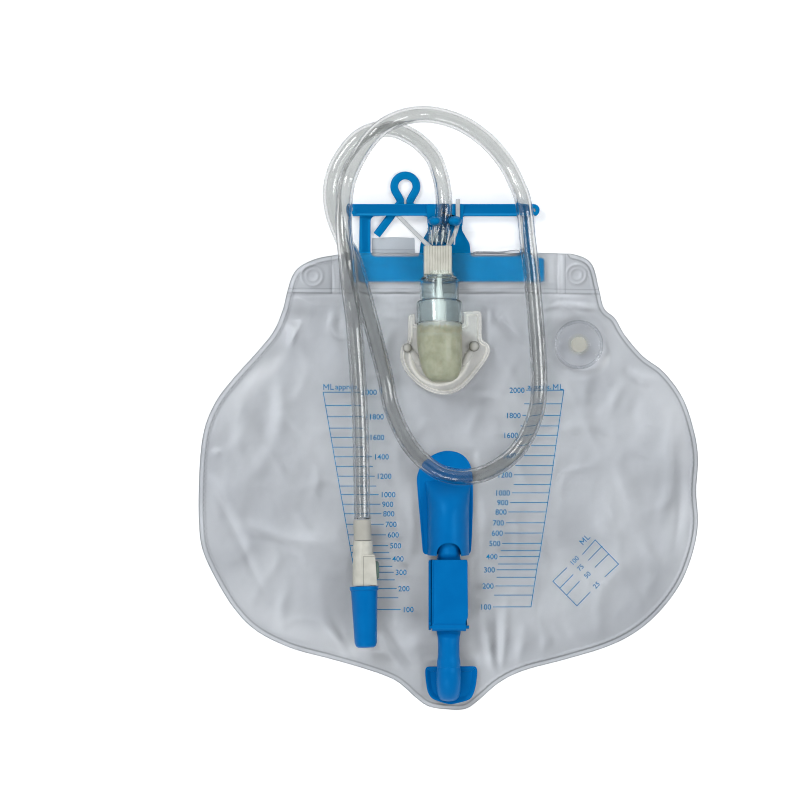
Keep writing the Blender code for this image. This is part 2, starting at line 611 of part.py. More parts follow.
def cup_shape(radius, length, mouth, low):
    """A round-ended scoop: an egg along the chamber's axis, carried down to the plate."""
    points = []
    for k in range(9):
        share = math.sin(math.pi / 2 * k / 8)
        ring_radius = radius * (1.0 - share ** 2.6) ** 0.45
        for m in range(24):
            t = 2 * math.pi * m / 24
            local = Vector((ring_radius * math.cos(t), -share * length, ring_radius * math.sin(t)))
            points.append(local)
    if mouth > 0.0:
        points += [p + Vector((0, mouth, 0)) for p in points[:24]]
    place = Matrix.Translation((CHAMBER_X, CHAMBER_Y, CHAMBER_Z)) @ Matrix.Rotation(-CHAMBER_TILT, 4, "X")
    points = [place @ p for p in points]
    foot = []
    for p in points:
        if p.z < CHAMBER_Z + 0.003:
            slant = math.tan(CHAMBER_TILT) * max(1.0 - (CHAMBER_Y - p.y) / (0.6 * length), 0.0)
            foot.append(Vector((p.x, p.y - (p.z - low) * slant, low)))
    return hull([p for p in points + foot if p.z >= low])


def anti_reflux_cup():
    seat = DECK + FLANGE_THICK + GAP
    outer = cup_shape(CHAMBER_RADIUS, CUP_LENGTH, 0.0, seat)
    bmesh.ops.translate(outer, verts=outer.verts, vec=(0, -GAP, 0))
    cup = add("anti_reflux_cup", outer, amber)
    inner = cup_shape(CHAMBER_RADIUS - 0.0012, CUP_LENGTH - 0.0012, 0.0020, seat - 0.002)
    combine(cup, add("cup hollow", inner, None, cutter=True), "DIFFERENCE")


def chamber_flange():
    """The plate welded to the film: two ears, a round foot, a lip round the cup and two pegs."""
    x = CHAMBER_X
    low, high = DECK, DECK + FLANGE_THICK
    lip_y = CHAMBER_Y - CUP_LENGTH * math.cos(CHAMBER_TILT) + CHAMBER_RADIUS
    ear = CHAMBER_RADIUS + 0.0009
    outline = rounded([
        (x - ear - EAR_WIDTH, CHAMBER_Y + 0.0064, 0.0016), (x - ear - EAR_WIDTH, lip_y + 0.0097, 0.004),
        (x - ear - 0.0095, lip_y + 0.0047, 0.004), (x - ear - 0.0080, lip_y - 0.0033, 0.006),
        (x - 0.0150, lip_y - 0.0168, 0.008), (x + 0.0030, lip_y - 0.0223, 0.012),
        (x + 0.0190, lip_y - 0.0143, 0.008), (x + ear + 0.0130, lip_y - 0.0023, 0.006),
        (x + ear + 0.0140, lip_y + 0.0047, 0.004), (x + ear + 0.0083, lip_y + 0.0087, 0.003),
        (x + ear + 0.0083, CHAMBER_Y + 0.0079, 0.0016), (x + ear, CHAMBER_Y + 0.0079, 0.001),
        (x + ear, CHAMBER_Y + 0.0005, 0.001), (x - ear, CHAMBER_Y + 0.0005, 0.001),
        (x - ear, CHAMBER_Y + 0.0064, 0.001)])
    plate = slab([outline, circle(*VALVE_HOLE[:2], 0.0085)], low, high, 0.0009, 0.0003)
    flange = add("chamber_flange", plate, cream)
    lip = []
    for radius in (CHAMBER_RADIUS + 0.0038, CHAMBER_RADIUS + GAP + 0.0006):
        turns = [math.radians(-8 - 164 * k / 16) for k in range(17)]
        arc = [Vector((x + radius * math.cos(t), lip_y + radius * math.sin(t))) for t in turns]
        lip.append(arc)
    ridge = slab([lip[0] + lip[1][::-1]], high - 0.0008, high + 0.0016)
    combine(flange, add("flange lip", ridge, None, cutter=True), "UNION")
    for name, side in (("left peg", -ear - 0.0046), ("right peg", ear + 0.0035)):
        profile = [(0.0, -0.0008), (PEG_RADIUS, -0.0008), (PEG_RADIUS, PEG_HEIGHT - 0.0012),
                   (PEG_RADIUS - 0.0004, PEG_HEIGHT - 0.0004), (PEG_RADIUS - 0.0012, PEG_HEIGHT),
                   (0.0, PEG_HEIGHT)]
        peg = upright(turned(profile, 16), x + side, lip_y + 0.0060, high)
        combine(flange, add(name, peg, None, cutter=True), "UNION")


def reflux_leaflet():
    """The soft flap under the front sheet that closes the inlet."""
    x, y, _ = VALVE_HOLE
    high = PUFF - GAP
    outline = rounded([(x - 0.0110, y + 0.0130, 0.002), (x - 0.0110, y - 0.0100, 0.009),
                       (x + 0.0110, y - 0.0100, 0.009), (x + 0.0110, y + 0.0130, 0.002)])
    add("reflux_leaflet", slab([outline], high - 0.0005, high), amber)


drip_chamber()
chamber_ring()
drip_nozzle()
chamber_cap()
cap_collar()
anti_reflux_cup()
chamber_flange()
reflux_leaflet()

# Tether cord: looped on the hook's pin, across the cap and knotted beside it, with two loose ends
TETHER_RADIUS = 0.00065


def tether_cord():
    loop = [math.radians(250 - 290 * k / 12) for k in range(13)]
    turn = PIN_RADIUS + GAP + TETHER_RADIUS
    level = HOOK_FLOOR + HOOK_THICK + GAP + TETHER_RADIUS
    start = [(HOOK_X + turn * math.cos(t), HOOK_Y + turn * math.sin(t), level) for t in loop]
    run = start[::-1] + [(-0.0302, 0.1340, level), (-0.0276, 0.1303, 0.0078), (-0.0225, 0.1258, 0.0125),
                         (-0.0150, 0.1204, 0.0182)]
    block = Matrix.Translation((CHAMBER_X, CHAMBER_Y, CHAMBER_Z)) @ Matrix.Rotation(-CHAMBER_TILT, 4, "X")
    groove = BLOCK_TOP + GAP + TETHER_RADIUS + 0.0001
    for x, z in ((-0.0052, 0.0062), (0.0, 0.0077), (0.0050, 0.0063), (0.0082, 0.0040)):
        run.append(block @ Vector((x, groove, z)))
    run += [(0.0045, 0.1193, 0.0125), (0.0054, 0.1184, 0.0085), (0.0057, 0.1173, 0.0060)]
    tail_up = [(0.0057, 0.1173, 0.0058), (0.0056, 0.1220, 0.0060), (0.0056, 0.1262, 0.0080),
               (0.0056, 0.1310, 0.0082), (0.0056, 0.1380, 0.0081), (0.0055, 0.1442, 0.0081)]
    tail_down = [(0.0057, 0.1173, 0.0058), (0.0057, 0.1130, 0.0056), (0.0057, 0.1047, 0.0057)]
    cord = None
    for name, points in (("tether_cord", run), ("tail up", tail_up), ("tail down", tail_down)):
        path = smooth_curve(points, 2)
        rings = []
        for i, here in enumerate(path):
            along = (path[min(i + 1, len(path) - 1)] - path[max(i - 1, 0)]).normalized()
            side = along.cross(Vector((0.31, 0.17, 0.93))).normalized()
            up = side.cross(along)
            rings.append([here + TETHER_RADIUS * (math.cos(t) * side + math.sin(t) * up) for t in
                          (2 * math.pi * k / 6 for k in range(6))])
        strand = add(name, lofted(rings), clear, cutter=cord is not None)
        if cord is None:
            cord = strand
        else:
            combine(cord, strand, "UNION")
    ends = (("knot", 0.0017, (0.0057, 0.1173, 0.0061)), ("bead", 0.0012, (0.0055, 0.1446, 0.0081)))
    for name, radius, centre in ends:
        bm = bmesh.new()
        bmesh.ops.create_icosphere(bm, subdivisions=2, radius=radius, matrix=Matrix.Translation(centre))
        combine(cord, add(name, bm, None, cutter=True), "UNION")


tether_cord()

# Inlet tube: one free length, looped once on the table above the bag and once down its front
TUBE_ROUTE = [
    (-0.0055, 0.1185, 0.0130), (-0.0046, 0.1275, 0.0119), (-0.0034, 0.1320, 0.0124),
    (-0.0027, 0.1415, 0.0126), (-0.0033, 0.1505, 0.0104), (-0.0053, 0.1600, 0.0069),
    (-0.0099, 0.1713, 0.0053), (-0.0213, 0.1821, 0.0053), (-0.0363, 0.1875, 0.0053), (-0.0528, 0.1827, 0.0053),
    (-0.0650, 0.1683, 0.0053), (-0.0703, 0.1527, 0.0053), (-0.0692, 0.1371, 0.0053), (-0.0630, 0.1203, 0.0056),
    (-0.0555, 0.1035, 0.0096), (-0.0394, 0.0435, 0.0101), (-0.0339, 0.0189, 0.0101),
    (-0.0219, -0.0048, 0.0104), (-0.0039, -0.0195, 0.0125), (0.0180, -0.0207, 0.0116), (0.0387, -0.0087, 0.0101),
    (0.0507, 0.0114, 0.0101), (0.0544, 0.0363, 0.0101), (0.0504, 0.0943, 0.0101), (0.0474, 0.1203, 0.0116),
    (0.0449, 0.1422, 0.0127), (0.0405, 0.1550, 0.0088), (0.0339, 0.1677, 0.0055), (0.0222, 0.1809, 0.0053),
    (0.0063, 0.1914, 0.0053), (-0.0129, 0.1960, 0.0062), (-0.0309, 0.1923, 0.0142), (-0.0465, 0.1812, 0.0154),
    (-0.0597, 0.1585, 0.0082), (-0.0628, 0.1337, 0.0146), (-0.0610, 0.1085, 0.0186), (-0.0590, 0.0885, 0.0156),
    (-0.0564, 0.0663, 0.0104), (-0.0530, 0.0120, 0.0101), (-0.0518, -0.0471, 0.0113),
]
rod("inlet_tube", smooth_curve(TUBE_ROUTE, 2), TUBE_RADIUS, 3, clear)

# Catheter connector on the tube's end, built along its own axis: +y runs back up the tube
lean = (CONNECTOR_START - CONNECTOR_END).to_track_quat("Y", "Z")
connector = bpy.data.objects.new("connector_axis", None)
connector.location = CONNECTOR_START
connector.rotation_mode = "QUATERNION"
connector.rotation_quaternion = lean
bpy.context.scene.collection.objects.link(connector)
SLEEVE_LENGTH, BODY_LENGTH = 0.0126, 0.0268
CAP_START = -(SLEEVE_LENGTH + BODY_LENGTH + 2 * GAP)


def tube_sleeve():
    profile = [(0.0028, -SLEEVE_LENGTH), (0.0053, -SLEEVE_LENGTH), (0.0054, -0.0030), (0.0052, -0.0004),
               (0.0049, -GAP), (0.0028, -GAP)]
    add("tube_sleeve", turned(profile, 24), cream, parent=connector)


def connector_body():
    """The tapered body with its raised sampling panel and the nose that the cap covers."""
    top = -SLEEVE_LENGTH - GAP
    foot = top - BODY_LENGTH
    profile = [
        (0.0026, top), (0.0055, top), (0.0058, top - 0.0005), (0.0070, foot + 0.0006), (0.0070, foot),
        (0.0048, foot), (0.0038, foot - 0.0250), (0.0030, foot - 0.0260), (0.0022, foot - 0.0260)]
    body = add("connector_body", turned(profile, 24), cream, parent=connector)
    panel = slab([rounded([(-0.0010, foot + 0.0003, 0.0), (0.0078, foot + 0.0003, 0.0),
                           (0.0072, foot + 0.0184, 0.001),
                           (-0.0010, foot + 0.0184, 0.0006)])], -0.0040, 0.0064)
    combine(body, add("sampling panel", panel, None, parent=connector, cutter=True), "UNION")
    seat = turned([(0.0, 0.0082), (0.0050, 0.0082), (0.0050, 0.0066), (0.0, 0.0066)], 20)
    bmesh.ops.scale(seat, verts=seat.verts, vec=(1.20, 1.0, 0.82))
    bmesh.ops.rotate(seat, verts=seat.verts, cent=(0, 0, 0), matrix=Matrix.Rotation(math.radians(-90), 3, "Z"))
    bmesh.ops.translate(seat, verts=seat.verts, vec=(0.0, foot + 0.0092, 0.0012))
    bore = turned([(0.0, top + 0.001), (0.0022, top + 0.001), (0.0022, foot - 0.027), (0.0, foot - 0.027)], 16)
    combine(body, add("septum seat", seat, None, parent=connector, cutter=True), "DIFFERENCE")
    combine(body, add("connector bore", bore, None, parent=connector, cutter=True), "DIFFERENCE")


def septum():
    """The oval rubber plug that a syringe is pushed through, proud of its seat."""
    foot = -SLEEVE_LENGTH - GAP - BODY_LENGTH
    plug = turned([(0.0, 0.0069), (0.0046, 0.0069), (0.0046, 0.0084), (0.0036, 0.0092), (0.0, 0.0094)], 20)
    bmesh.ops.scale(plug, verts=plug.verts, vec=(1.20, 1.0, 0.82))
    bmesh.ops.rotate(plug, verts=plug.verts, cent=(0, 0, 0), matrix=Matrix.Rotation(math.radians(-90), 3, "Z"))
    bmesh.ops.translate(plug, verts=plug.verts, vec=(0.0, foot + 0.0092, 0.0012))
    add("septum", plug, rubber, parent=connector)


def connector_cap():
    """The pull-off cap: a turned thimble with a rim, a taper and a rounded end."""
    end = CAP_START - CAP_LENGTH
    wall = 0.0012
    profile = [
        (CAP_RIM - wall - 0.0006, CAP_START), (CAP_RIM, CAP_START), (CAP_RIM, CAP_START - 0.0022),
        (CAP_RIM - 0.0007, CAP_START - 0.0026), (0.0067, end + 0.0030), (0.0060, end + 0.0009),
        (0.0046, end), (0.0, end), (0.0, end + wall), (0.0050, end + wall + 0.0006), (0.0055, end + 0.0045),
        (CAP_RIM - wall - 0.0010, CAP_START - 0.0020)]
    outer = profile[1:8]
    inner = profile[8:] + profile[:1]
    bm = bmesh.new()
    chain = [bm.verts.new((radius, height, 0.0)) for radius, height in inner + outer]
    edges = [bm.edges.new(pair) for pair in zip(chain, chain[1:])]
    bmesh.ops.spin(bm, geom=chain + edges, cent=(0, 0, 0), axis=(0, 1, 0), angle=2 * math.pi, steps=28,
                   use_merge=True)
    add("connector_cap", bm, blue, origin=(0.0, CAP_START, 0.0), parent=connector)


tube_sleeve()
connector_body()
septum()
connector_cap()


# Vent: a round clear housing on the film, with a filter disc in its middle
def vent():
    base = VENT_DECK + GAP
    radius = VENT_RADIUS
    profile = [
        (0.0030, 0.0), (radius, 0.0), (radius, 0.0008), (radius - 0.0010, 0.0011), (radius - 0.0014, 0.0024),
        (radius - 0.0024, 0.0024), (radius - 0.0030, 0.0014), (0.0066, 0.0018), (0.0062, 0.0026),
        (0.0054, 0.0026),
        (0.0054, 0.0014), (0.0030, 0.0014)]
    disc = [(0.0, 0.0014 + GAP), (0.0051, 0.0014 + GAP), (0.0051, 0.0021), (0.0044, 0.0024), (0.0, 0.0024)]
    for name, shape, finish in (("vent_housing", profile, clear), ("vent_filter", disc, cream)):
        add(name, upright(turned(shape, 36), VENT_X, VENT_Y, base), finish)


vent()

# Holster: a blue plate on the film with a hood that the drain tube's end is tucked into
HOLSTER_Y0 = CLAMP_TOP_Y + 0.0029
HOLSTER_LENGTH = 0.0613
HOOD_LENGTH = 0.0414
HOOD_HALF = 0.0128
HOOD_RISE = TUCKED_Z + DRAIN_RADIUS + GAP - DECK + 0.0018
# Stations along the hood: share of its length, of its half width and of its height
HOOD_STATIONS = [(0.0, 1.0, 1.0), (0.31, 1.0, 1.0), (0.60, 0.98, 0.94), (0.79, 0.91, 0.75), (0.92, 0.73, 0.41),
                 (1.0, 0.47, 0.10)]


def hood_shell(inset, lengthen):
    """The hood as arched sections along the tube, each a flat-topped bow over the plate."""
    rings = []
    for k, (along, half, rise) in enumerate(HOOD_STATIONS):
        half, rise = half * HOOD_HALF - inset, max(rise * HOOD_RISE - inset, 0.0004)
        y = HOLSTER_Y0 + along * HOOD_LENGTH
        y += -lengthen if k == 0 else -inset if k == len(HOOD_STATIONS) - 1 else 0.0
        base = DECK + 0.0008
        arch = []
        for m in range(13):
            t = math.pi * m / 12
            wide = math.copysign(abs(math.cos(t)) ** 0.55, math.cos(t)) * half
            arch.append(Vector((DRAIN_X + wide, y, base + math.sin(t) ** 0.62 * (rise + 0.0004))))
        rings.append(arch)
    return lofted(rings)


def holster():
    x = DRAIN_X - 0.0004
    foot, head = HOLSTER_Y0, HOLSTER_Y0 + HOLSTER_LENGTH
    outline = rounded([
        (x - HOOD_HALF - 0.0022, foot, 0.0012), (x + HOOD_HALF + 0.0002, foot, 0.0012),
        (x + HOOD_HALF + 0.0028, head - 0.0155, 0.014), (x + HOOD_HALF + 0.0012, head, 0.013),
        (x - HOOD_HALF - 0.0012, head, 0.013), (x - HOOD_HALF - 0.0059, head - 0.0155, 0.014)], 6)
    plate = add("holster", slab([outline], DECK, DECK + FLANGE_THICK, 0.0010, 0.0003), blue)
    combine(plate, add("hood", hood_shell(0.0, 0.0), None, cutter=True), "UNION")
    hollow = hood_shell(0.0012, 0.002)
    bmesh.ops.translate(hollow, verts=hollow.verts, vec=(0, 0, 0.0004))
    combine(plate, add("hood hollow", hollow, None, cutter=True), "DIFFERENCE")
    arch_half, arch_top = DRAIN_RADIUS + 0.0007, foot + 0.0077
    arch = slab([rounded([(DRAIN_X - arch_half, foot - 0.002, 0.0), (DRAIN_X + arch_half, foot - 0.002, 0.0),
                          (DRAIN_X + arch_half, arch_top, 0.0060), (DRAIN_X - arch_half, arch_top, 0.0060)])],
                TUCKED_Z, DECK + 1.3 * HOOD_RISE)
    combine(plate, add("hood arch", arch, None, cutter=True), "DIFFERENCE")


holster()

# Drain tube: blue soft tube from the outlet boot, through the clamp that flattens it, into the holster
# Stations along it: y, height of its middle, half width and half height
DRAIN_STATIONS = [
    (BOOT_NECK_Y + 0.0003, BOOT_NECK_Z, DRAIN_RADIUS + 0.0006, DRAIN_RADIUS + 0.0006),
    (BOOT_NECK_Y + 0.0040, BOOT_NECK_Z, DRAIN_RADIUS + 0.0006, DRAIN_RADIUS + 0.0006),
    (BOOT_NECK_Y + 0.0070, BOOT_NECK_Z + 0.0002, DRAIN_RADIUS + 0.0001, DRAIN_RADIUS + 0.0001),
    (HINGE_Y - 0.0105, BOOT_NECK_Z + 0.0006, DRAIN_RADIUS, DRAIN_RADIUS),
    (HINGE_Y - 0.0065, BOOT_NECK_Z + 0.0004, DRAIN_RADIUS + 0.0002, DRAIN_RADIUS - 0.0005),
    (HINGE_Y - 0.0035, HINGE_Z - 0.0063, DRAIN_RADIUS + 0.0009, 0.0041),
    (HINGE_Y + 0.0035, HINGE_Z - 0.0065, DRAIN_RADIUS + 0.0015, 0.0034),
    (PINCH_Y - 0.0085, PINCH_Z - 0.0001, DRAIN_RADIUS + 0.0017, 0.0026),
    (PINCH_Y, PINCH_Z, DRAIN_RADIUS + 0.0018, 0.0019),
    (PINCH_Y + 0.0080, PINCH_Z, DRAIN_RADIUS + 0.0017, 0.0028),
    (CLAMP_TOP_Y - 0.0043, PINCH_Z - 0.0001, DRAIN_RADIUS + 0.0014, 0.0032),
    (CLAMP_TOP_Y + 0.0007, PINCH_Z + 0.0004, DRAIN_RADIUS + 0.0009, 0.0038),
    (CLAMP_TOP_Y + 0.0039, TUCKED_Z - 0.0004, DRAIN_RADIUS + 0.0001, DRAIN_RADIUS - 0.0007),
    (CLAMP_TOP_Y + 0.0077, TUCKED_Z, DRAIN_RADIUS, DRAIN_RADIUS),
    (CLAMP_TOP_Y + 0.0157, TUCKED_Z, DRAIN_RADIUS, DRAIN_RADIUS),
    (CLAMP_TOP_Y + 0.0262, TUCKED_Z, DRAIN_RADIUS, DRAIN_RADIUS)]


def drain_tube():
    outside, bore = [], []
    for y, z, wide, high in DRAIN_STATIONS:
        for rings, wall in ((outside, 0.0), (bore, DRAIN_WALL)):
            ring = []
            for k in range(18):
                t = 2 * math.pi * (k + 0.5) / 18
                across = (wide - wall) * math.cos(t)
                up = max(high - wall, 0.0004) * math.sin(t)
                ring.append(Vector((DRAIN_X + across, y, z + up)))
            rings.append(ring)
    add("drain_tube", lofted(outside + bore[::-1], looped=True), blue)


drain_tube()


# Outlet boot: the boat-shaped blue fitting welded in the bag's foot
def outlet_boot():
    floor = BOOT_DECK + GAP
    x, neck_y, radius = DRAIN_X, BOOT_NECK_Y, DRAIN_RADIUS + 0.0006
    foot_y = neck_y - BOOT_LENGTH
    wing = 2.2 * radius
    outline = rounded([
        (x - wing + 0.0010, neck_y + 0.0003, 0.0026), (x - wing + 0.0021, foot_y + 0.0065, 0.005),
        (x - 0.0060, foot_y + 0.0012, 0.006), (x + 0.0020, foot_y, 0.006), (x + 0.0100, foot_y + 0.0017, 0.005),
        (x + wing - 0.0007, foot_y + 0.0065, 0.005), (x + wing + 0.0010, neck_y + 0.0003, 0.0026)])
    boot = add("outlet_boot", slab([outline], floor, floor + BOOT_THICK, 0.0012, 0.0005), blue)
    neck = [Vector((p.x, neck_y, p.y)) for p in circle(x, BOOT_NECK_Z, radius, 20)]
    heel = [Vector((x + side * radius, y, floor + BOOT_THICK / 2)) for side in (-1, 1)
            for y in (neck_y, foot_y + 0.0067)]
    toe = [Vector((p.x, foot_y + 0.0092, 0.0028 + p.y)) for p in circle(x, 0.0052, 0.0062, 16) if p.y > 0.0051]
    tip = [Vector((p.x, foot_y + 0.0032, p.y)) for p in circle(x, floor + 0.0012, 0.0026, 12)
           if p.y > floor + 0.0011]
    combine(boot, add("boot tunnel", hull(neck + heel + toe + tip), None, cutter=True), "UNION")
    plug = DRAIN_RADIUS - DRAIN_WALL - GAP + 0.0006
    spigot = [(0.0, 0.0), (plug, 0.0), (plug - 0.0004, 0.0065), (plug - 0.0009, 0.0070), (0.0, 0.0070)]
    spigot = turned(spigot, 20)
    bmesh.ops.translate(spigot, verts=spigot.verts, vec=(x, neck_y - 0.0004, BOOT_NECK_Z))
    combine(boot, add("boot spigot", spigot, None, cutter=True), "UNION")
    bore = turned([(0.0, 0.0), (0.0032, 0.0), (0.0032, 0.0200), (0.0, 0.0200)], 16)
    bmesh.ops.translate(bore, verts=bore.verts, vec=(x, neck_y - 0.0100, BOOT_NECK_Z))
    combine(boot, add("boot bore", bore, None, cutter=True), "DIFFERENCE")
    drop = slab([circle(x, neck_y - 0.0075, 0.0030, 16)], 0.0, BOOT_NECK_Z)
    combine(boot, add("boot drop", drop, None, cutter=True), "DIFFERENCE")


outlet_boot()


# Drain clamp: a channel for the tube and a lever that pinches it shut, hinged on a pin at the lower end
def clamp_base():
    floor = DECK
    half = CLAMP_HALF
    left, right = CLAMP_X - half, CLAMP_X + half
    foot_y = HINGE_Y - 0.0030
    wall_top = HINGE_Z - 0.0016
    base = add("clamp_base", slab([rounded([
        (left, foot_y, 0.002), (right, foot_y, 0.002), (right, CLAMP_TOP_Y, 0.001),
        (left, CLAMP_TOP_Y, 0.001)])],
        floor, wall_top), blue)
    trough = box(left + CLAMP_WALL, right - CLAMP_WALL, foot_y - 0.001, CLAMP_TOP_Y + 0.001,
                 floor + CLAMP_WALL, wall_top + 0.001)
    combine(base, add("clamp trough", trough, None, cutter=True), "DIFFERENCE")
    rise = PINCH_Z - 0.0023 - floor - CLAMP_WALL + 0.0003
    ridge = slab([rounded([(-0.0020, 0.0, 0.0), (0.0020, 0.0, 0.0), (0.0010, rise, 0.0008),
                           (-0.0010, rise, 0.0008)])],
                 left + 0.0005, right - 0.0005)
    turn = Matrix(((0, 0, 1), (1, 0, 0), (0, 1, 0)))
    bmesh.ops.transform(ridge, verts=ridge.verts, matrix=turn.to_4x4())
    bmesh.ops.translate(ridge, verts=ridge.verts, vec=(0, PINCH_Y, floor + CLAMP_WALL - 0.0003))
    combine(base, add("base ridge", ridge, None, cutter=True), "UNION")
    for name, x in (("left ear", left), ("right ear", right - CLAMP_WALL)):
        ear = slab([circle(HINGE_Y, HINGE_Z, 0.0030, 20)], x, x + CLAMP_WALL)
        bmesh.ops.transform(ear, verts=ear.verts, matrix=turn.to_4x4())
        combine(base, add(name, ear, None, cutter=True), "UNION")
    bore = slab([circle(HINGE_Y, HINGE_Z, CLAMP_PIN + GAP, 16)], left - 0.001, right + 0.001)
    bmesh.ops.transform(bore, verts=bore.verts, matrix=turn.to_4x4())
    combine(base, add("base bore", bore, None, cutter=True), "DIFFERENCE")


def clamp_lever():
    half = CLAMP_HALF - CLAMP_WALL - GAP - 0.0002
    left, right = CLAMP_X - half, CLAMP_X + half
    top_face = HINGE_Z + 0.0005
    under = HINGE_Z - 0.0013
    turn = Matrix(((0, 0, 1), (1, 0, 0), (0, 1, 0))).to_4x4()
    pivot = (CLAMP_X, HINGE_Y, HINGE_Z)
    plate = slab([rounded([(left, HINGE_Y, 0.0), (right, HINGE_Y, 0.0), (right, CLAMP_TOP_Y + 0.0004, 0.0008),
                           (left, CLAMP_TOP_Y + 0.0004, 0.0008)])], under, top_face)
    lever = add("clamp_lever", plate, blue, origin=pivot)
    barrel = slab([circle(HINGE_Y, HINGE_Z, BARREL_RADIUS, 20)], left + 0.0002, right - 0.0002)
    bmesh.ops.transform(barrel, verts=barrel.verts, matrix=turn)
    combine(lever, add("lever barrel", barrel, None, cutter=True), "UNION")
    for name, x in (("left skirt", left + 0.0001), ("right skirt", right - 0.0013)):
        skirt = box(x, x + 0.0012, HINGE_Y + 0.0060, CLAMP_TOP_Y - 0.0006, under - 0.0026, under + 0.0006)
        combine(lever, add(name, skirt, None, cutter=True), "UNION")
    tip = PINCH_Z + 0.0021
    ridge = slab([rounded([(PINCH_Y - 0.0010, tip, 0.0007), (PINCH_Y + 0.0010, tip, 0.0007),
                           (PINCH_Y + 0.0020, under + 0.0004, 0.0), (PINCH_Y - 0.0020, under + 0.0004, 0.0)])],
                 left + 0.0010, right - 0.0010)
    bmesh.ops.transform(ridge, verts=ridge.verts, matrix=turn)
    combine(lever, add("lever ridge", ridge, None, cutter=True), "UNION")
    bore = slab([circle(HINGE_Y, HINGE_Z, CLAMP_PIN + GAP, 16)], left - 0.001, right + 0.001)
    bmesh.ops.transform(bore, verts=bore.verts, matrix=turn)
    combine(lever, add("lever bore", bore, None, cutter=True), "DIFFERENCE")


def clamp_pin():
    pin = slab([circle(0.0, 0.0, CLAMP_PIN, 14)], -CLAMP_HALF + 0.0002, CLAMP_HALF - 0.0002)
    turn = Matrix(((0, 0, 1), (1, 0, 0), (0, 1, 0))).to_4x4()
    bmesh.ops.transform(pin, verts=pin.verts, matrix=turn)
    bmesh.ops.translate(pin, verts=pin.verts, vec=(CLAMP_X, HINGE_Y, HINGE_Z))
    add("clamp_pin", pin, blue, origin=(CLAMP_X, HINGE_Y, HINGE_Z))


clamp_base()
clamp_lever()
clamp_pin()
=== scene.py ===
"""A urine drainage bag lying on a table: film bag, blue hanger, drip chamber, hose and drain clamp."""
import json
import math

import bmesh
import bpy
import numpy as np
from mathutils import Matrix, Vector, geometry, noise
from mathutils.bvhtree import BVHTree

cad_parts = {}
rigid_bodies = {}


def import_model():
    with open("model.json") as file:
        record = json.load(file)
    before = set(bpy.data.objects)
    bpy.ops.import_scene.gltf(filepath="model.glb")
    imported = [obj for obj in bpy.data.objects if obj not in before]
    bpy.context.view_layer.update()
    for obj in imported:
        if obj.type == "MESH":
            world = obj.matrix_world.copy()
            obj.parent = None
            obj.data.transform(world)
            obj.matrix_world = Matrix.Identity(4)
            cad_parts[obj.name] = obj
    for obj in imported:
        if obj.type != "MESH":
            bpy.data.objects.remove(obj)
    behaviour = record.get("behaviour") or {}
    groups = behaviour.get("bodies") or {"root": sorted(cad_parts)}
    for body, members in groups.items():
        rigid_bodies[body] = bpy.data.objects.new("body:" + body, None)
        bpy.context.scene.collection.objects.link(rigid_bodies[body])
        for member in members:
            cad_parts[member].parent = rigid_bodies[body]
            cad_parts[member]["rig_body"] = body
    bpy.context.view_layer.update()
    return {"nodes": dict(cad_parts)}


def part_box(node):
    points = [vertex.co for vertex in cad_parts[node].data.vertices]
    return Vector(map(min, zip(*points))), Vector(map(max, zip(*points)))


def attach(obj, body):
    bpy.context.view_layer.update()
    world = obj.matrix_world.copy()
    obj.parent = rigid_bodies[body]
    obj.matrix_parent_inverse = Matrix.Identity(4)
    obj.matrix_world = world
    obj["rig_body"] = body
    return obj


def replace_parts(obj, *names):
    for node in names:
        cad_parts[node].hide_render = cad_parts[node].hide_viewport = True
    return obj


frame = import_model()

# The picture is taken from straight above the bag, which lies flat on a white table.
# The camera stands two metres up, and its view is 480 mm wide at the table.
scene = bpy.context.scene
scene.view_settings.view_transform = "Standard"
scene.cycles.transparent_max_bounces = 32
scene.cycles.transmission_bounces = 16
scene.cycles.max_bounces = 16
scene.cycles.filter_width = 1.1
lens = bpy.data.cameras.new("camera")
lens.sensor_width = 36.0
lens.lens = 149.25
lens.clip_start, lens.clip_end = 0.05, 20.0


def linked(name, data):
    """An object of the scene that carries a camera, lamp, curve or mesh."""
    made = bpy.data.objects.new(name, data)
    scene.collection.objects.link(made)
    return made


def mesh_of(name, bm):
    """The mesh of a bmesh, which is then done with."""
    mesh = bpy.data.meshes.new(name)
    bm.to_mesh(mesh)
    bm.free()
    return mesh


scene.camera = linked("camera", lens)
scene.camera.location = (-0.0291, 0.0243, 2.0)


class Shade:
    """One value in a material, on which Python's own operators add Math nodes."""

    def __init__(self, finish, socket):
        self.finish, self.socket = finish, socket

    def math(self, operation, *others):
        return self.finish.node("ShaderNodeMath", {"operation": operation}, dict(enumerate([self, *others])))

    def behind(self, operation, other):
        return self.finish.node("ShaderNodeMath", {"operation": operation}, {0: other, 1: self})

    def __add__(self, other):
        return self.math("ADD", other)

    def __mul__(self, other):
        return self.math("MULTIPLY", other)

    def __sub__(self, other):
        return self.math("SUBTRACT", other)

    def __rsub__(self, other):
        return self.behind("SUBTRACT", other)

    def __truediv__(self, other):
        return self.math("DIVIDE", other)

    def __pow__(self, other):
        return self.math("POWER", other)

    __radd__, __rmul__ = __add__, __mul__

    def between(self, low, high):
        """Goes smoothly from 0 at the low value to 1 at the high one."""
        settings = {"interpolation_type": "SMOOTHSTEP"}
        return self.finish.node("ShaderNodeMapRange", settings, {0: self, 1: low, 2: high})

    def near(self, value, reach, core=0.0001):
        """Goes smoothly from 1 within the core of a value to 0 at the reach."""
        return (self - value).math("ABSOLUTE").between(reach, core)

    def capped(self):
        return self.math("MINIMUM", 1.0)


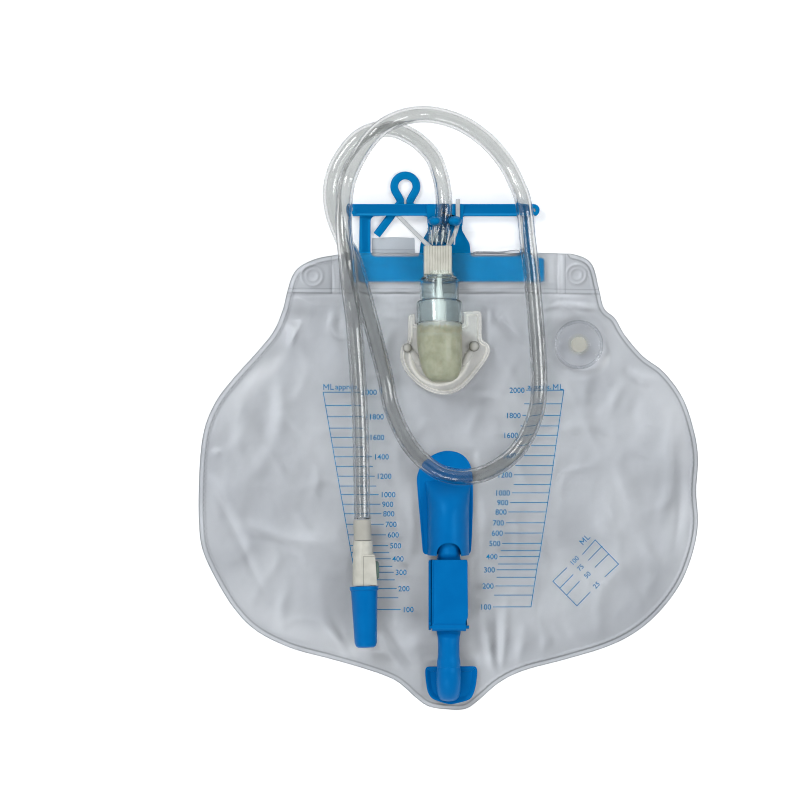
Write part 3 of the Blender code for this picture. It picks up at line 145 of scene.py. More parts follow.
class Finish:
    """A material or world: its main shader, and one method that adds any other node."""

    def __init__(self, owner, values=()):
        owner.use_nodes = True
        self.owner, self.tree = owner, owner.node_tree
        self.shader = self.tree.nodes.get("Principled BSDF") or self.tree.nodes["Background"]
        self.dress(values)

    def fill(self, node, values):
        for key, value in dict(values).items():
            if isinstance(value, Shade):
                self.tree.links.new(value.socket, node.inputs[key])
            else:
                node.inputs[key].default_value = value

    def dress(self, values):
        self.fill(self.shader, values)

    def node(self, kind, settings=(), values=(), output=0):
        made = self.tree.nodes.new(kind)
        for key, value in dict(settings).items():
            setattr(made, key, value)
        self.fill(made, values)
        return Shade(self, made.outputs[output])

    def place(self):
        return self.node("ShaderNodeTexCoord", output=3)

    def axes(self):
        """The x, y and z of a point of the piece, in metres."""
        return [self.node("ShaderNodeSeparateXYZ", {}, {0: self.place()}, output=k) for k in range(3)]

    def facing(self):
        """0 where the surface faces the eye, 1 where it is seen edge on."""
        return self.node("ShaderNodeLayerWeight", {}, {"Blend": 0.5}, output="Facing")

    def stored(self, name):
        """A value that the mesh carries at its points."""
        return self.node("ShaderNodeAttribute", {"attribute_name": name}, output="Fac")

    def rays(self, *names):
        """1 for rays of the named kinds that have met no matt face yet, else 0."""
        total = sum(self.node("ShaderNodeLightPath", output=f"Is {name} Ray") for name in names)
        return total.capped() * (1.0 - self.node("ShaderNodeLightPath", output="Diffuse Depth").capped())

    def cloud(self, scale, detail=3.0, stretch=(1.0, 1.0, 1.0), seed=0.0):
        """Soft noise over the piece, with its scale in marks to the metre."""
        vector = self.node("ShaderNodeMapping", {}, {
            "Vector": self.place(), "Location": (seed, seed, seed), "Scale": stretch})
        return self.node("ShaderNodeTexNoise", {}, {"Vector": vector, "Scale": scale, "Detail": detail})

    def blend(self, share, first, second):
        """A colour that goes from the first to the second as the share goes from 0 to 1."""
        first, second = [c if isinstance(c, Shade) else (*c, 1.0) for c in (first, second)]
        return self.node("ShaderNodeMix", {"data_type": "RGBA"}, {0: share, 6: first, 7: second}, output=2)

    def pass_light(self, tint):
        """Lets the lamps' light through to what lies behind a clear piece, tinted at each face."""
        shade = self.node("ShaderNodeBsdfTransparent", {}, {"Color": (*tint, 1.0)})
        lamp_ray = self.node("ShaderNodeLightPath", output="Is Shadow Ray")
        whole = Shade(self, self.shader.outputs[0])
        both = self.node("ShaderNodeMixShader", {}, {0: lamp_ray, 1: whole, 2: shade})
        self.tree.links.new(both.socket, self.tree.nodes["Material Output"].inputs["Surface"])

    def relief(self, height, depth, strength=1.0):
        """A bump, with its depth in metres."""
        normal = self.node("ShaderNodeBump", {}, {"Strength": strength, "Distance": depth, "Height": height})
        self.dress({"Normal": normal})


def material(name, values):
    return Finish(bpy.data.materials.new(name), values)


# A white studio round the table: an even ambient light, and a dome that the gloss and the hose show.
# The dome is a bright ring, dark overhead and near the horizon, so that folds and clear edges show.
studio = Finish(bpy.data.worlds.new("studio"))
scene.world = studio.owner
towards = studio.node("ShaderNodeTexCoord", output=0)
height = studio.node("ShaderNodeSeparateXYZ", {}, {0: towards}, output=2)
side = studio.node("ShaderNodeVectorMath", {"operation": "DOT_PRODUCT"},
                   {0: towards, 1: (-0.8, 0.6, 0.0)}, output=1)
glare = height.between(-0.1, 0.45) * (1.0 - 0.88 * height.between(0.84, 0.975)) * (0.75 + 0.75 * side)
dome = studio.blend(glare, (0.13, 0.14, 0.15), (1.0, 1.0, 1.0))
shown = studio.blend(studio.rays("Glossy", "Transmission"), (0.44, 0.45, 0.46), dome)
shown = studio.blend(studio.rays("Camera"), shown, (1.0, 1.0, 1.0))
studio.dress({"Color": shown, "Strength": 1.0})

# Three softboxes: a key above left, a fill to the right, and a long strip behind that draws streaks
for name, place, target, size, power in (
        ("key", (-0.75, 0.75, 1.25), (-0.02, 0.02, 0.0), (0.45, 0.45), 8.0),
        ("fill", (0.95, 0.10, 1.15), (0.02, 0.0, 0.0), (0.30, 0.70), 5.5),
        ("strip", (-0.35, -0.95, 1.05), (-0.02, 0.02, 0.0), (0.80, 0.16), 4.0)):
    lamp = bpy.data.lights.new(name, "AREA")
    lamp.shape = "RECTANGLE"
    lamp.size, lamp.size_y, lamp.energy = *size, power
    softbox = linked(name, lamp)
    softbox.location = place
    softbox.rotation_euler = (Vector(target) - Vector(place)).to_track_quat("-Z", "Y").to_euler()

bm = bmesh.new()
bmesh.ops.create_grid(bm, x_segments=1, y_segments=1, size=3.0)
table = linked("table", mesh_of("table", bm))
table.location = (0.0, 0.0, -0.0002)
white = material("white table", {
    "Base Color": (0.86, 0.87, 0.88, 1.0), "Roughness": 0.9, "Specular IOR Level": 0.1,
    "Emission Color": (1.0, 1.0, 1.0, 1.0)})
white.dress({"Emission Strength": white.rays("Camera", "Glossy", "Transmission") * 0.30})
table.data.materials.append(white.owner)


def smoothed(points, steps):
    """Points along the smooth curve that passes through the given ones."""
    points = [Vector(p) for p in points]
    last = len(points) - 1
    result = []
    for i in range(last):
        p0, p1, p2, p3 = (points[min(max(k, 0), last)] for k in (i - 1, i, i + 1, i + 2))
        for step in range(steps):
            t = step / steps
            bend = (2 * p0 - 5 * p1 + 4 * p2 - p3) * t * t + (3 * p1 - p0 - 3 * p2 + p3) * t ** 3
            result.append(0.5 * (2 * p1 + (p2 - p0) * t + bend))
    return result + [points[-1]]


# Inlet hose: clear soft PVC tube, 10 mm thick with a 6.6 mm bore, from the drip chamber's cap up
# through the hanger's clip, round in two loops over the bag, and down to the catheter connector.
HOSE_RADIUS, HOSE_WALL = 0.0050, 0.0017
HOSE_ROUTE = [
    (-0.0055, 0.1185, 0.0130), (-0.0046, 0.1275, 0.0119), (-0.0034, 0.1320, 0.0124),
    (-0.0027, 0.1415, 0.0126), (-0.0033, 0.1505, 0.0104), (-0.0053, 0.1600, 0.0069),
    (-0.0099, 0.1713, 0.0053), (-0.0213, 0.1821, 0.0053), (-0.0363, 0.1875, 0.0053),
    (-0.0528, 0.1827, 0.0053), (-0.0650, 0.1683, 0.0053), (-0.0703, 0.1527, 0.0053),
    (-0.0692, 0.1371, 0.0053), (-0.0630, 0.1203, 0.0056), (-0.0555, 0.1035, 0.0096),
    (-0.0394, 0.0435, 0.0101), (-0.0339, 0.0189, 0.0101), (-0.0219, -0.0048, 0.0104),
    (-0.0039, -0.0195, 0.0125), (0.0180, -0.0207, 0.0116), (0.0387, -0.0087, 0.0101),
    (0.0507, 0.0114, 0.0101), (0.0544, 0.0363, 0.0101), (0.0504, 0.0943, 0.0101), (0.0474, 0.1203, 0.0116),
    (0.0449, 0.1422, 0.0127), (0.0405, 0.1550, 0.0088), (0.0339, 0.1677, 0.0055), (0.0222, 0.1809, 0.0053),
    (0.0063, 0.1914, 0.0053), (-0.0129, 0.1960, 0.0062), (-0.0309, 0.1923, 0.0142), (-0.0465, 0.1812, 0.0154),
    (-0.0597, 0.1585, 0.0082), (-0.0628, 0.1337, 0.0146), (-0.0610, 0.1085, 0.0186),
    (-0.0590, 0.0885, 0.0156), (-0.0564, 0.0663, 0.0104), (-0.0530, 0.0120, 0.0101),
    (-0.0518, -0.0471, 0.0113)]

clear_pvc = material("clear hose PVC", {
    "Roughness": 0.05, "IOR": 1.47, "Transmission Weight": 1.0, "Specular IOR Level": 0.75})
# Painted shade: the hose's colour darkens where it is seen edge on, for the dark rims that refraction shows
facing = clear_pvc.facing()
haze = clear_pvc.cloud(70.0, 2.0)
clear_pvc.dress({"Base Color": clear_pvc.blend(
    facing.between(0.25, 0.95), (0.73, 0.735, 0.73), (0.20, 0.22, 0.24)), "Roughness": 0.03 + 0.05 * haze})
clear_pvc.pass_light((0.90, 0.91, 0.91))

hose_line = smoothed(HOSE_ROUTE, 24)
curve = bpy.data.curves.new("inlet_hose", "CURVE")
curve.dimensions = "3D"
curve.bevel_depth = HOSE_RADIUS
curve.bevel_resolution = 14
curve.twist_mode = "MINIMUM"
curve.resolution_u = curve.render_resolution_u = 1
spline = curve.splines.new("POLY")
spline.points.add(len(hose_line) - 1)
for target, point in zip(spline.points, hose_line):
    target.co = (*point, 1.0)
curve.materials.append(clear_pvc.owner)
hose = linked("inlet_hose", curve)
wall = hose.modifiers.new("wall", "SOLIDIFY")
wall.thickness, wall.offset = HOSE_WALL, -1.0
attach(hose, "bag")
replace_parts(hose, "inlet_tube")

# Bag: two sheets of clear PVC film, 0.4 mm thick, welded all round, with a sleeve at the top for the
# hanger. The back sheet lies on the table and the front one rises over a little air, wrinkled and creased.
FILM = 0.0004
RIM, PUFF, WELD, SLOPE = FILM + 0.0003, 0.0043, 0.0024, 0.016
SLEEVE_SEAM_Y = 0.0890
BAR = (-0.0540, 0.0575, 0.0957)
VENT_AT, VENT_RADIUS, VENT_DECK = (0.0785, 0.0576), 0.0150, 0.0026
BOOT_AT, BOOT_PAD, BOOT_DECK = (0.0014, -0.1470), (0.0230, 0.0170), 0.0020
BAG_OUTLINE = [
    (-0.0669, 0.1119), (-0.0795, 0.1095), (-0.0891, 0.1050), (-0.0939, 0.0993), (-0.0969, 0.0903),
    (-0.0999, 0.0783), (-0.1053, 0.0657), (-0.1143, 0.0543), (-0.1299, 0.0369), (-0.1395, 0.0243),
    (-0.1461, 0.0099), (-0.1491, -0.0057), (-0.1503, -0.0267), (-0.1503, -0.0477), (-0.1485, -0.0645),
    (-0.1413, -0.0813), (-0.1293, -0.1011), (-0.1155, -0.1149), (-0.0951, -0.1251), (-0.0711, -0.1317),
    (-0.0483, -0.1383), (-0.0315, -0.1449), (-0.0201, -0.1545), (-0.0120, -0.1602), (-0.0003, -0.1621),
    (0.0105, -0.1617), (0.0189, -0.1560), (0.0309, -0.1458), (0.0459, -0.1386), (0.0717, -0.1317),
    (0.0969, -0.1239), (0.1149, -0.1143), (0.1293, -0.1011), (0.1407, -0.0849), (0.1479, -0.0657),
    (0.1505, -0.0489), (0.1494, -0.0309), (0.1505, -0.0105), (0.1479, 0.0063), (0.1413, 0.0255),
    (0.1299, 0.0411), (0.1173, 0.0507), (0.1065, 0.0633), (0.1005, 0.0735), (0.0939, 0.0795),
    (0.0909, 0.0909), (0.0876, 0.1041), (0.0825, 0.1098), (0.0741, 0.1125)]
EYELETS = [(-0.0819, 0.0993, 0.0063), (0.0773, 0.0999, 0.0058)]


def smoothstep(t):
    t = np.clip(t, 0.0, 1.0)
    return t * t * (3.0 - 2.0 * t)


def evenly(points, step):
    """Reads a chain of points again at an even spacing of about one step."""
    chain = np.array([tuple(p) for p in points])
    reach = np.concatenate([[0.0], np.cumsum(np.linalg.norm(np.diff(chain, axis=0), axis=1))])
    goals = np.linspace(0.0, reach[-1], max(2, round(reach[-1] / step)) + 1)
    return np.stack([np.interp(goals, reach, chain[:, k]) for k in range(chain.shape[1])], axis=1)


def distance_to(points, chain):
    """Distance in the plane from each point to a chain of points."""
    a, b = chain[:-1, :2], chain[1:, :2]
    run = b - a
    best = np.full(len(points), 1e9)
    for start, step, square in zip(a, run, (run ** 2).sum(axis=1)):
        share = np.clip(((points - start) @ step) / max(square, 1e-18), 0.0, 1.0)
        best = np.minimum(best, np.hypot(*(points - start - share[:, None] * step).T))
    return best


weld_line = evenly(smoothed([(*p, 0.0) for p in BAG_OUTLINE], 6), 0.0016)[:, :2]
top_edge = evenly([BAG_OUTLINE[-1], (0.0600, 0.1128), (-0.0600, 0.1128), BAG_OUTLINE[0]], 0.0016)[1:-1]
bag_edge = np.concatenate([weld_line, top_edge])


def film_rest(points):
    """Height of the front sheet's underside before it wrinkles."""
    x, y = points.T
    beside = np.maximum(np.maximum(BAR[0] - x, x - BAR[1]), 0.0)
    below = np.maximum(BAR[2] - y, 0.0)
    over_bar = smoothstep(1.0 - (np.hypot(0.5 * beside, below) - 0.0006) / 0.0060)
    sleeve = RIM + (0.0007 + 0.0030 + 0.0003 - RIM) * over_bar
    lift = smoothstep((distance_to(points, weld_line) - WELD) / SLOPE)
    lift = np.minimum(lift, smoothstep((SLEEVE_SEAM_Y - y) / 0.008))
    belly = RIM + (PUFF - RIM) * lift
    vent = smoothstep((np.hypot(x - VENT_AT[0], y - VENT_AT[1]) - VENT_RADIUS - 0.001) / 0.006)
    belly = VENT_DECK - FILM + (belly - VENT_DECK + FILM) * vent
    boot = smoothstep((np.hypot((x - BOOT_AT[0]) / BOOT_PAD[0], (y - BOOT_AT[1]) / BOOT_PAD[1]) - 1.0) / 0.90)
    belly = BOOT_DECK - FILM + (belly - BOOT_DECK + FILM) * boot
    return np.where(y > SLEEVE_SEAM_Y, sleeve, belly)


def within(points, edge):
    """Which points lie inside a closed edge."""
    inside = np.zeros(len(points), bool)
    for (ax, ay), (bx, by) in zip(edge, np.roll(edge, -1, axis=0)):
        crossed = (ay > points[:, 1]) != (by > points[:, 1])
        inside ^= crossed & (ax + (points[:, 1] - ay) * (bx - ax) / (by - ay or 1.0) > points[:, 0])
    return inside


def turns_of(count):
    """Angles at an even spacing round a full turn."""
    return np.linspace(0.0, 2 * math.pi, count, endpoint=False)


def film_points(spacing, fine):
    """Points that carry the film: the welded edge, rows along it, and a grid, finer in the sleeve."""
    inward = np.gradient(weld_line, axis=0)
    inward = np.stack([-inward[:, 1], inward[:, 0]], axis=1) / np.hypot(*inward.T)[:, None]
    closed = np.concatenate([bag_edge, bag_edge[:1]])
    kept = [bag_edge]
    for depth in (0.0005, 0.0011, 0.0018, 0.0024, 0.0030, 0.0040, 0.0052):
        row = weld_line + depth * inward
        kept.append(row[distance_to(row, closed) > 0.93 * depth])
    for x, y, radius in EYELETS:
        for ring in np.arange(0.0006, radius + 0.0016, 0.0006):
            turns = turns_of(max(6, round(ring * 6500)))
            kept.append(np.stack([x + ring * np.cos(turns), y + ring * np.sin(turns)], axis=1))
    for low, high, step, margin in ((-0.165, 0.072, spacing, 0.0058), (0.072, 0.114, fine, 0.0007)):
        grid = np.array([(column + step / 2 * (k % 2), row)
                         for k, row in enumerate(np.arange(low, high, step * 0.866))
                         for column in np.arange(-0.152, 0.152, step)])
        clear = within(grid, bag_edge) & (distance_to(grid, closed) > margin)
        clear &= distance_to(grid, weld_line) > 0.0056
        for x, y, radius in EYELETS:
            clear &= np.hypot(grid[:, 0] - x, grid[:, 1] - y) > radius + 0.0016
        kept.append(grid[clear])
    return np.concatenate(kept)


def facing_up(bm):
    """Turns the faces of an open sheet upwards."""
    bm.normal_update()
    bmesh.ops.reverse_faces(bm, faces=[face for face in bm.faces if face.normal.z < 0])


def sheet_mesh(name, points, edge, heights):
    """Joins points by triangles inside an edge, which comes first among them."""
    links = [(k, (k + 1) % len(edge)) for k in range(len(edge))]
    result = geometry.delaunay_2d_cdt([Vector(p) for p in points], links, [], 2, 1e-7)
    flat = np.array([tuple(p) for p in result[0]])
    mesh = bpy.data.meshes.new(name)
    mesh.from_pydata([(*p, z) for p, z in zip(flat, heights(flat))], [], [tuple(f) for f in result[2]])
    bm = bmesh.new()
    bm.from_mesh(mesh)
    facing_up(bm)
    bm.to_mesh(mesh)
    surface = BVHTree.FromBMesh(bm)
    bm.free()
    mesh.shade_smooth()
    return mesh, surface


def spread_of(mesh):
    return np.array([v.co[:2] for v in mesh.vertices])


def seen_at(x, y):
    """The point of the bag that shows at a pixel of the picture."""
    return (x - 448.5) * 0.0006, (440.5 - y) * 0.0006


# Folds and creases of the front sheet: half width and height in mm, then the pixels that each runs through
CREASES = [
    (3.5, -0.9, (283, 345), (266, 362), (250, 378), (241, 390)),
    (3.0, 0.8, (275, 352), (256, 373), (240, 396)), (2.2, 0.8, (283, 324), (291, 332), (289, 345)),
    (1.6, 0.7, (299, 323), (294, 334), (289, 346)), (1.3, 0.5, (283, 323), (299, 323)),
    (2.2, 0.9, (212, 454), (221, 450)), (2.6, 0.8, (334, 312), (331, 328), (338, 339)),
    (2.0, -0.6, (340, 318), (339, 329), (346, 335)),
    (3.4, 0.5, (202, 468), (214, 487), (229, 504), (244, 533), (260, 570)),
    (2.2, -0.45, (210, 488), (222, 510), (234, 536), (248, 564), (262, 594)),
    (4.0, 0.7, (232, 526), (262, 528), (294, 538), (330, 543)),
    (3.0, -0.5, (240, 538), (270, 541), (300, 552)), (4.0, 0.8, (279, 376), (281, 405), (278, 440)),
    (5.0, -0.8, (268, 392), (264, 424), (270, 455)),
    (4.0, 0.5, (232, 392), (243, 418), (238, 448), (250, 476)),
    (3.0, 0.5, (300, 452), (318, 470), (312, 502)), (3.2, 0.6, (288, 588), (281, 610), (284, 634)),
    (2.6, 0.8, (321, 622), (336, 642), (345, 660)), (2.2, -0.6, (330, 612), (342, 634), (352, 652)),
    (2.4, 0.7, (352, 655), (372, 664), (392, 676)), (2.8, 0.9, (372, 628), (388, 652), (404, 676)),
    (2.2, -0.5, (384, 622), (398, 648), (412, 668)), (2.4, 1.2, (484, 616), (487, 640), (496, 684)),
    (2.6, 1.1, (506, 600), (504, 640), (500, 680)), (2.0, -0.7, (495, 612), (497, 650), (500, 676)),
    (3.2, 0.7, (524, 628), (520, 650), (516, 672)), (3.2, 0.7, (536, 624), (547, 640), (541, 656)),
    (3.0, -0.5, (560, 622), (572, 640), (590, 648)), (1.7, 0.9, (690, 556), (684, 566), (676, 572)),
    (2.0, 0.7, (687, 482), (687, 520), (681, 558)), (1.8, -0.6, (681, 470), (680, 512), (674, 552)),
    (3.5, 0.7, (672, 455), (668, 492), (660, 524)), (3.5, 0.6, (600, 519), (608, 530), (622, 536)),
    (4.0, 0.5, (640, 540), (652, 566), (648, 598)), (2.2, 0.9, (633, 369), (646, 376), (661, 378)),
    (2.4, -0.8, (626, 366), (630, 376), (640, 384)), (3.0, 0.7, (623, 385), (616, 398), (611, 410)),
    (3.4, -0.5, (640, 392), (634, 410), (640, 430)), (2.6, 0.9, (563, 299), (580, 303), (601, 310)),
    (1.8, -0.7, (566, 306), (584, 311), (603, 312)),
    (1.6, 0.6, (543, 309), (559, 306), (568, 310), (577, 316)),
    (2.4, 0.7, (500, 316), (512, 326), (524, 336)), (2.0, -0.6, (497, 322), (513, 338), (531, 350)),
    (2.6, 0.6, (482, 300), (490, 312), (488, 326)), (2.4, 0.6, (380, 296), (396, 302), (412, 300)),
    (2.0, 0.5, (372, 306), (384, 316), (400, 318)), (2.2, 0.6, (392, 330), (386, 348), (390, 366)),
    (2.6, 0.5, (492, 352), (512, 372), (520, 396)), (2.6, 0.5, (470, 400), (494, 398), (514, 408)),
    (3.0, 0.5, (556, 432), (590, 426), (622, 436)), (4.5, 0.7, (600, 452), (622, 470), (632, 498)),
    (4.0, -0.5, (570, 410), (588, 404), (604, 412)), (3.4, 0.6, (412, 430), (398, 452), (402, 486)),
    (3.0, 0.5, (410, 498), (414, 530), (408, 560)), (3.0, 0.6, (480, 488), (486, 520), (480, 556)),
    (3.0, 0.5, (516, 512), (518, 540), (514, 566))]
# Straight welds of the hanger's sleeve: half width and height in mm, then the two ends
WELDS = [
    (0.9, -0.35, (-0.0980, 0.0868), (-0.0640, 0.0882)), (0.9, -0.35, (-0.0640, 0.0882), (0.0640, 0.0885)),
    (0.9, -0.35, (0.0640, 0.0885), (0.0915, 0.0872)), (0.7, 0.25, (-0.0640, 0.0900), (0.0610, 0.0903)),
    (0.8, -0.30, (-0.0700, 0.0885), (-0.0712, 0.1108)), (0.8, -0.30, (0.0655, 0.0885), (0.0652, 0.1118)),
    (0.6, 0.25, (0.0668, 0.0885), (0.0666, 0.1118)), (0.6, 0.25, (-0.0686, 0.0885), (-0.0696, 0.1108))]
# Painted sheen and shade along the sharpest folds: half width in mm, strength, then pixels
PAINTED_FOLD_SHEEN = [
    (2.8, 0.20, (560, 302), (580, 304), (600, 304)),
    (0.8, -0.14, (548, 305.5), (558, 299), (575, 299.5), (599, 302)),
    (0.8, -0.14, (566, 308.5), (585, 310), (602, 309.5)),
    (0.8, -0.10, (543, 309), (558, 305.5), (565, 307), (580, 314.6)),
    (3.4, -0.12, (286, 312), (302, 311), (318, 312)), (2.0, 0.16, (283, 324), (291, 332), (289, 345)),
    (1.2, 0.13, (299, 323), (294, 334)), (1.0, -0.10, (286, 322), (296, 327), (292, 344)),
    (0.8, -0.09, (329, 325), (331, 334), (338, 339.5), (347, 339), (353, 333)),
    (0.8, 0.07, (331, 327), (334, 333), (340, 336.5), (347, 336)), (1.1, 0.06, (400, 332), (398, 352),
     (404, 374), (420, 390), (443, 395), (466, 390), (482, 374), (490, 352)),
    (2.6, -0.10, (500, 316), (506, 328), (511, 342)), (1.4, 0.08, (506, 312), (512, 324), (520, 336)),
    (1.6, -0.08, (480, 300), (487, 312), (484, 328)), (1.6, 0.07, (388, 300), (400, 305), (412, 303)),
    (2.2, 0.09, (633, 369), (646, 376), (661, 378)), (1.4, -0.08, (630, 376), (640, 384), (652, 386)),
    (1.3, -0.07, (215, 497), (232, 530), (247, 562.7), (257, 583.7), (265, 599)),
    (3.2, 0.05, (222, 500), (238, 530), (254, 562)), (2.2, 0.08, (206, 474), (216, 481), (226, 498)),
    (1.7, 0.20, (211, 451), (215, 450.5), (220, 450.5)),
    (2.4, 0.05, (242, 527), (266, 529), (294, 538), (328, 544)),
    (2.2, 0.07, (337, 641), (345, 646), (354, 656)), (1.4, 0.10, (321, 622), (336, 642), (345, 660)),
    (1.4, -0.09, (328, 618), (342, 640), (352, 658)), (1.6, 0.12, (484, 622), (488, 645), (495, 680)),
    (1.6, 0.12, (506, 604), (504, 640), (500, 676)), (1.5, -0.10, (495, 616), (497, 650), (499, 674)),
    (1.8, 0.09, (524, 630), (520, 650), (516, 670)), (1.6, 0.10, (376, 632), (390, 654), (404, 674)),
    (1.4, -0.08, (384, 626), (398, 648), (410, 666)),
    (1.1, -0.09, (374, 291), (385, 293), (398, 290.5), (410, 293), (420, 291.5)),
    (1.8, 0.08, (372, 286.5), (395, 285.5), (418, 287)), (1.8, 0.08, (466, 285.5), (490, 287), (518, 285)),
    (1.1, -0.07, (466, 291), (488, 292.5), (515, 290)), (1.2, -0.06, (489, 306), (495, 318), (503, 330)),
    (1.6, 0.08, (687, 482), (687, 520), (681, 558)), (1.4, -0.08, (682, 474), (680, 512), (674, 552))]
LAID_ON = ["clamp_base", "holster", "chamber_flange", "tube_sleeve", "connector_body", "connector_cap",
           "outlet_boot"]


def ridges(flat, lines):
    """Sum of rounded ridges along short lines, each fading out at its ends."""
    total = np.zeros(len(flat))
    for half_width, rise, *points in lines:
        chain = evenly(smoothed([(*p, 0.0) for p in points], 4), min(0.002, 0.0005 * half_width))[:, :2]
        reach = np.ptp(chain, axis=0) / 2 + 0.02
        near = np.flatnonzero((np.abs(flat - chain.mean(axis=0)) < reach).all(axis=1))
        away = np.hypot(*(flat[near, None] - chain[None]).transpose(2, 0, 1))
        along = away.argmin(axis=1) / (len(chain) - 1)
        fade = np.sin(math.pi * (0.04 + 0.92 * along)) ** 0.6
        total[near] += 0.001 * rise * fade * np.exp(-(away.min(axis=1) / (0.001 * half_width)) ** 2)
    return total


fold_rise = []
# How strongly a stroke of painted sheen or shade adds to the painted fold light
PAINTED_SHEEN_SCALE = 1600


def film_height(flat):
    """Top of the front sheet, with its folds, welds and eyelets, kept under what is laid on it."""
    rest = film_rest(flat) + FILM
    edge = distance_to(flat, weld_line)
    room = smoothstep((edge - 0.0035) / 0.012)
    swell = np.array([0.00055 * noise.fractal((x * 24, y * 20, 3.1), 1.1, 2.2, 3)
                      + 0.00018 * noise.fractal((x * 95, y * 80, 7.4), 1.0, 2.2, 3)
                      + 0.00050 * math.exp(-(noise.noise((x * 21, y * 17, 5.7)) / 0.13) ** 2)
                      + 0.00030 * math.exp(-(noise.noise((x * 34 + y * 9, y * 30, 1.3)) / 0.12) ** 2)
                      for x, y in flat])
    folds = ridges(flat, [(w, h, *(seen_at(*p) for p in points)) for w, h, *points in CREASES])
    sleeve = smoothstep((flat[:, 1] - 0.086) / 0.003)
    height = rest + (swell * (1 - 0.75 * sleeve) + folds) * room
    height += ridges(flat, WELDS) * smoothstep((edge - 0.001) / 0.002)
    height += 0.00030 * np.exp(-((edge - 0.0030) / 0.0005) ** 2) * (flat[:, 1] < 0.1112)
    for x, y, radius in EYELETS:
        away = np.hypot(flat[:, 0] - x, flat[:, 1] - y)
        height += 0.00032 * np.exp(-((away - radius) / 0.0008) ** 2)
        height += 0.00022 * np.exp(-((away - 0.57 * radius) / 0.0007) ** 2)
        height -= 0.0003 * np.exp(-(away / (0.4 * radius)) ** 2)
    beside = distance_to(flat, np.array([tuple(p) for p in hose_line[::6]])) - 0.0020
    for node in LAID_ON:
        low, high = (np.array(corner[:2]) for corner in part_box(node))
        outside = np.maximum(np.maximum(low - flat, flat - high), 0.0)
        beside = np.minimum(beside, np.hypot(*outside.T) - 0.0008)
    away = np.hypot(flat[:, 0] - VENT_AT[0], flat[:, 1] - VENT_AT[1])
    beside = np.minimum(beside, away - VENT_RADIUS)
    ceiling = rest + 0.00012 + 0.45 * np.maximum(beside, 0.0)
    height = ceiling - 0.00025 * np.logaddexp(0.0, (ceiling - height) / 0.00025)
    height = np.maximum(height, FILM * 2 + 0.0001)
    fold_rise[:] = [height - rest]
    return height


def carry(mesh, name, values):
    """Stores a value at each point of a mesh, for its material to read."""
    mesh.attributes.new(name, "FLOAT", "POINT").data.foreach_set("value", values)


bag_front, film_surface = sheet_mesh("bag_front", film_points(0.0017, 0.00085), bag_edge, film_height)
spread = spread_of(bag_front)
# Painted light on the front sheet, which its colour reads: lighter or darker by how the folds slope towards
# one side in plan, as if lit from there, plus the strokes of painted sheen and shade
painted_fold_light, share = np.zeros(len(spread)), np.zeros(len(spread))
for face in bag_front.polygons:
    corners = list(face.vertices)
    (ax, ay), (bx, by) = spread[corners[1]] - spread[corners[0]], spread[corners[2]] - spread[corners[0]]
    rise_a, rise_b = fold_rise[0][corners[1:]] - fold_rise[0][corners[0]]
    slope_x, slope_y = rise_a * by - rise_b * ay, rise_b * ax - rise_a * bx
    painted_fold_light[corners] += 0.8 * slope_x - 0.6 * slope_y
    share[corners] += ax * by - bx * ay
painted_fold_light /= np.maximum(share, 1e-12)
painted_fold_light += ridges(spread, [(max(w, 1.1), PAINTED_SHEEN_SCALE * tone, *(seen_at(*p) for p in points))
                        for w, tone, *points in PAINTED_FOLD_SHEEN])
carry(bag_front, "weld", distance_to(spread, weld_line) * 1000)
carry(bag_front, "painted_fold_light", painted_fold_light)

# The back sheet reaches up into the hanger's left window as a tab with a line pressed along it
TAB = [(-0.0200, 0.1128), (-0.0203, 0.1221), (-0.0330, 0.1226), (-0.0462, 0.1220), (-0.0460, 0.1128)]
bm = bmesh.new()
edge = np.concatenate([weld_line, evenly([*[p for p in top_edge if p[0] > -0.0200][:: 4], *TAB], 0.0016)])
loop = [bm.verts.new((x, y, FILM)) for x, y in edge]
bmesh.ops.triangle_fill(bm, use_beauty=True, edges=[bm.edges.new(p) for p in zip(loop, loop[1:] + loop[:1])])
facing_up(bm)
bag_back = mesh_of("bag_back", bm)

film = material("bag film", {"IOR": 1.25, "Transmission Weight": 1.0})
x, y, z = film.axes()
mottle = film.cloud(30.0, 5.0)
streaks = film.cloud(60.0, 3.0, (1.0, 0.35, 1.0), 4.0)
weld = film.stored("weld")
painted_fold_light = film.stored("painted_fold_light")
# pressed marks the weld lines, which are darker; raised marks painted sheen along the raised beads and eyelet
# rings
pressed = weld.near(2.7, 0.8, 0.1) + weld.near(0.1, 0.7, 0.1)
raised = weld.near(1.4, 1.0, 0.3)
for eye_x, eye_y, radius in EYELETS:
    away = ((x - eye_x) ** 2 + (y - eye_y) ** 2) ** 0.5
    pressed = pressed + 0.32 * away.near(radius, 0.0008)
    pressed = pressed + 0.24 * away.near(0.6 * radius, 0.0008)
    raised = raised + 0.35 * away.near(0.3 * radius, 0.0011, 0.0002)
y = y + 0.0045 * (film.cloud(16.0, 3.0, seed=8.0) - 0.5)
above, sides = y.between(0.0880, 0.0886), x.math("ABSOLUTE")
for at, width in ((0.0885, 0.0007), (0.0912, 0.0004)):
    pressed = pressed + 0.8 * y.near(at, width)
raised = raised + y.near(0.0898, 0.0008, 0.0002)
for at in (0.0655, 0.0705):
    pressed = pressed + 0.7 * above * sides.near(at, 0.0006)
raised = raised + above * sides.near(0.0680, 0.0016, 0.0004)
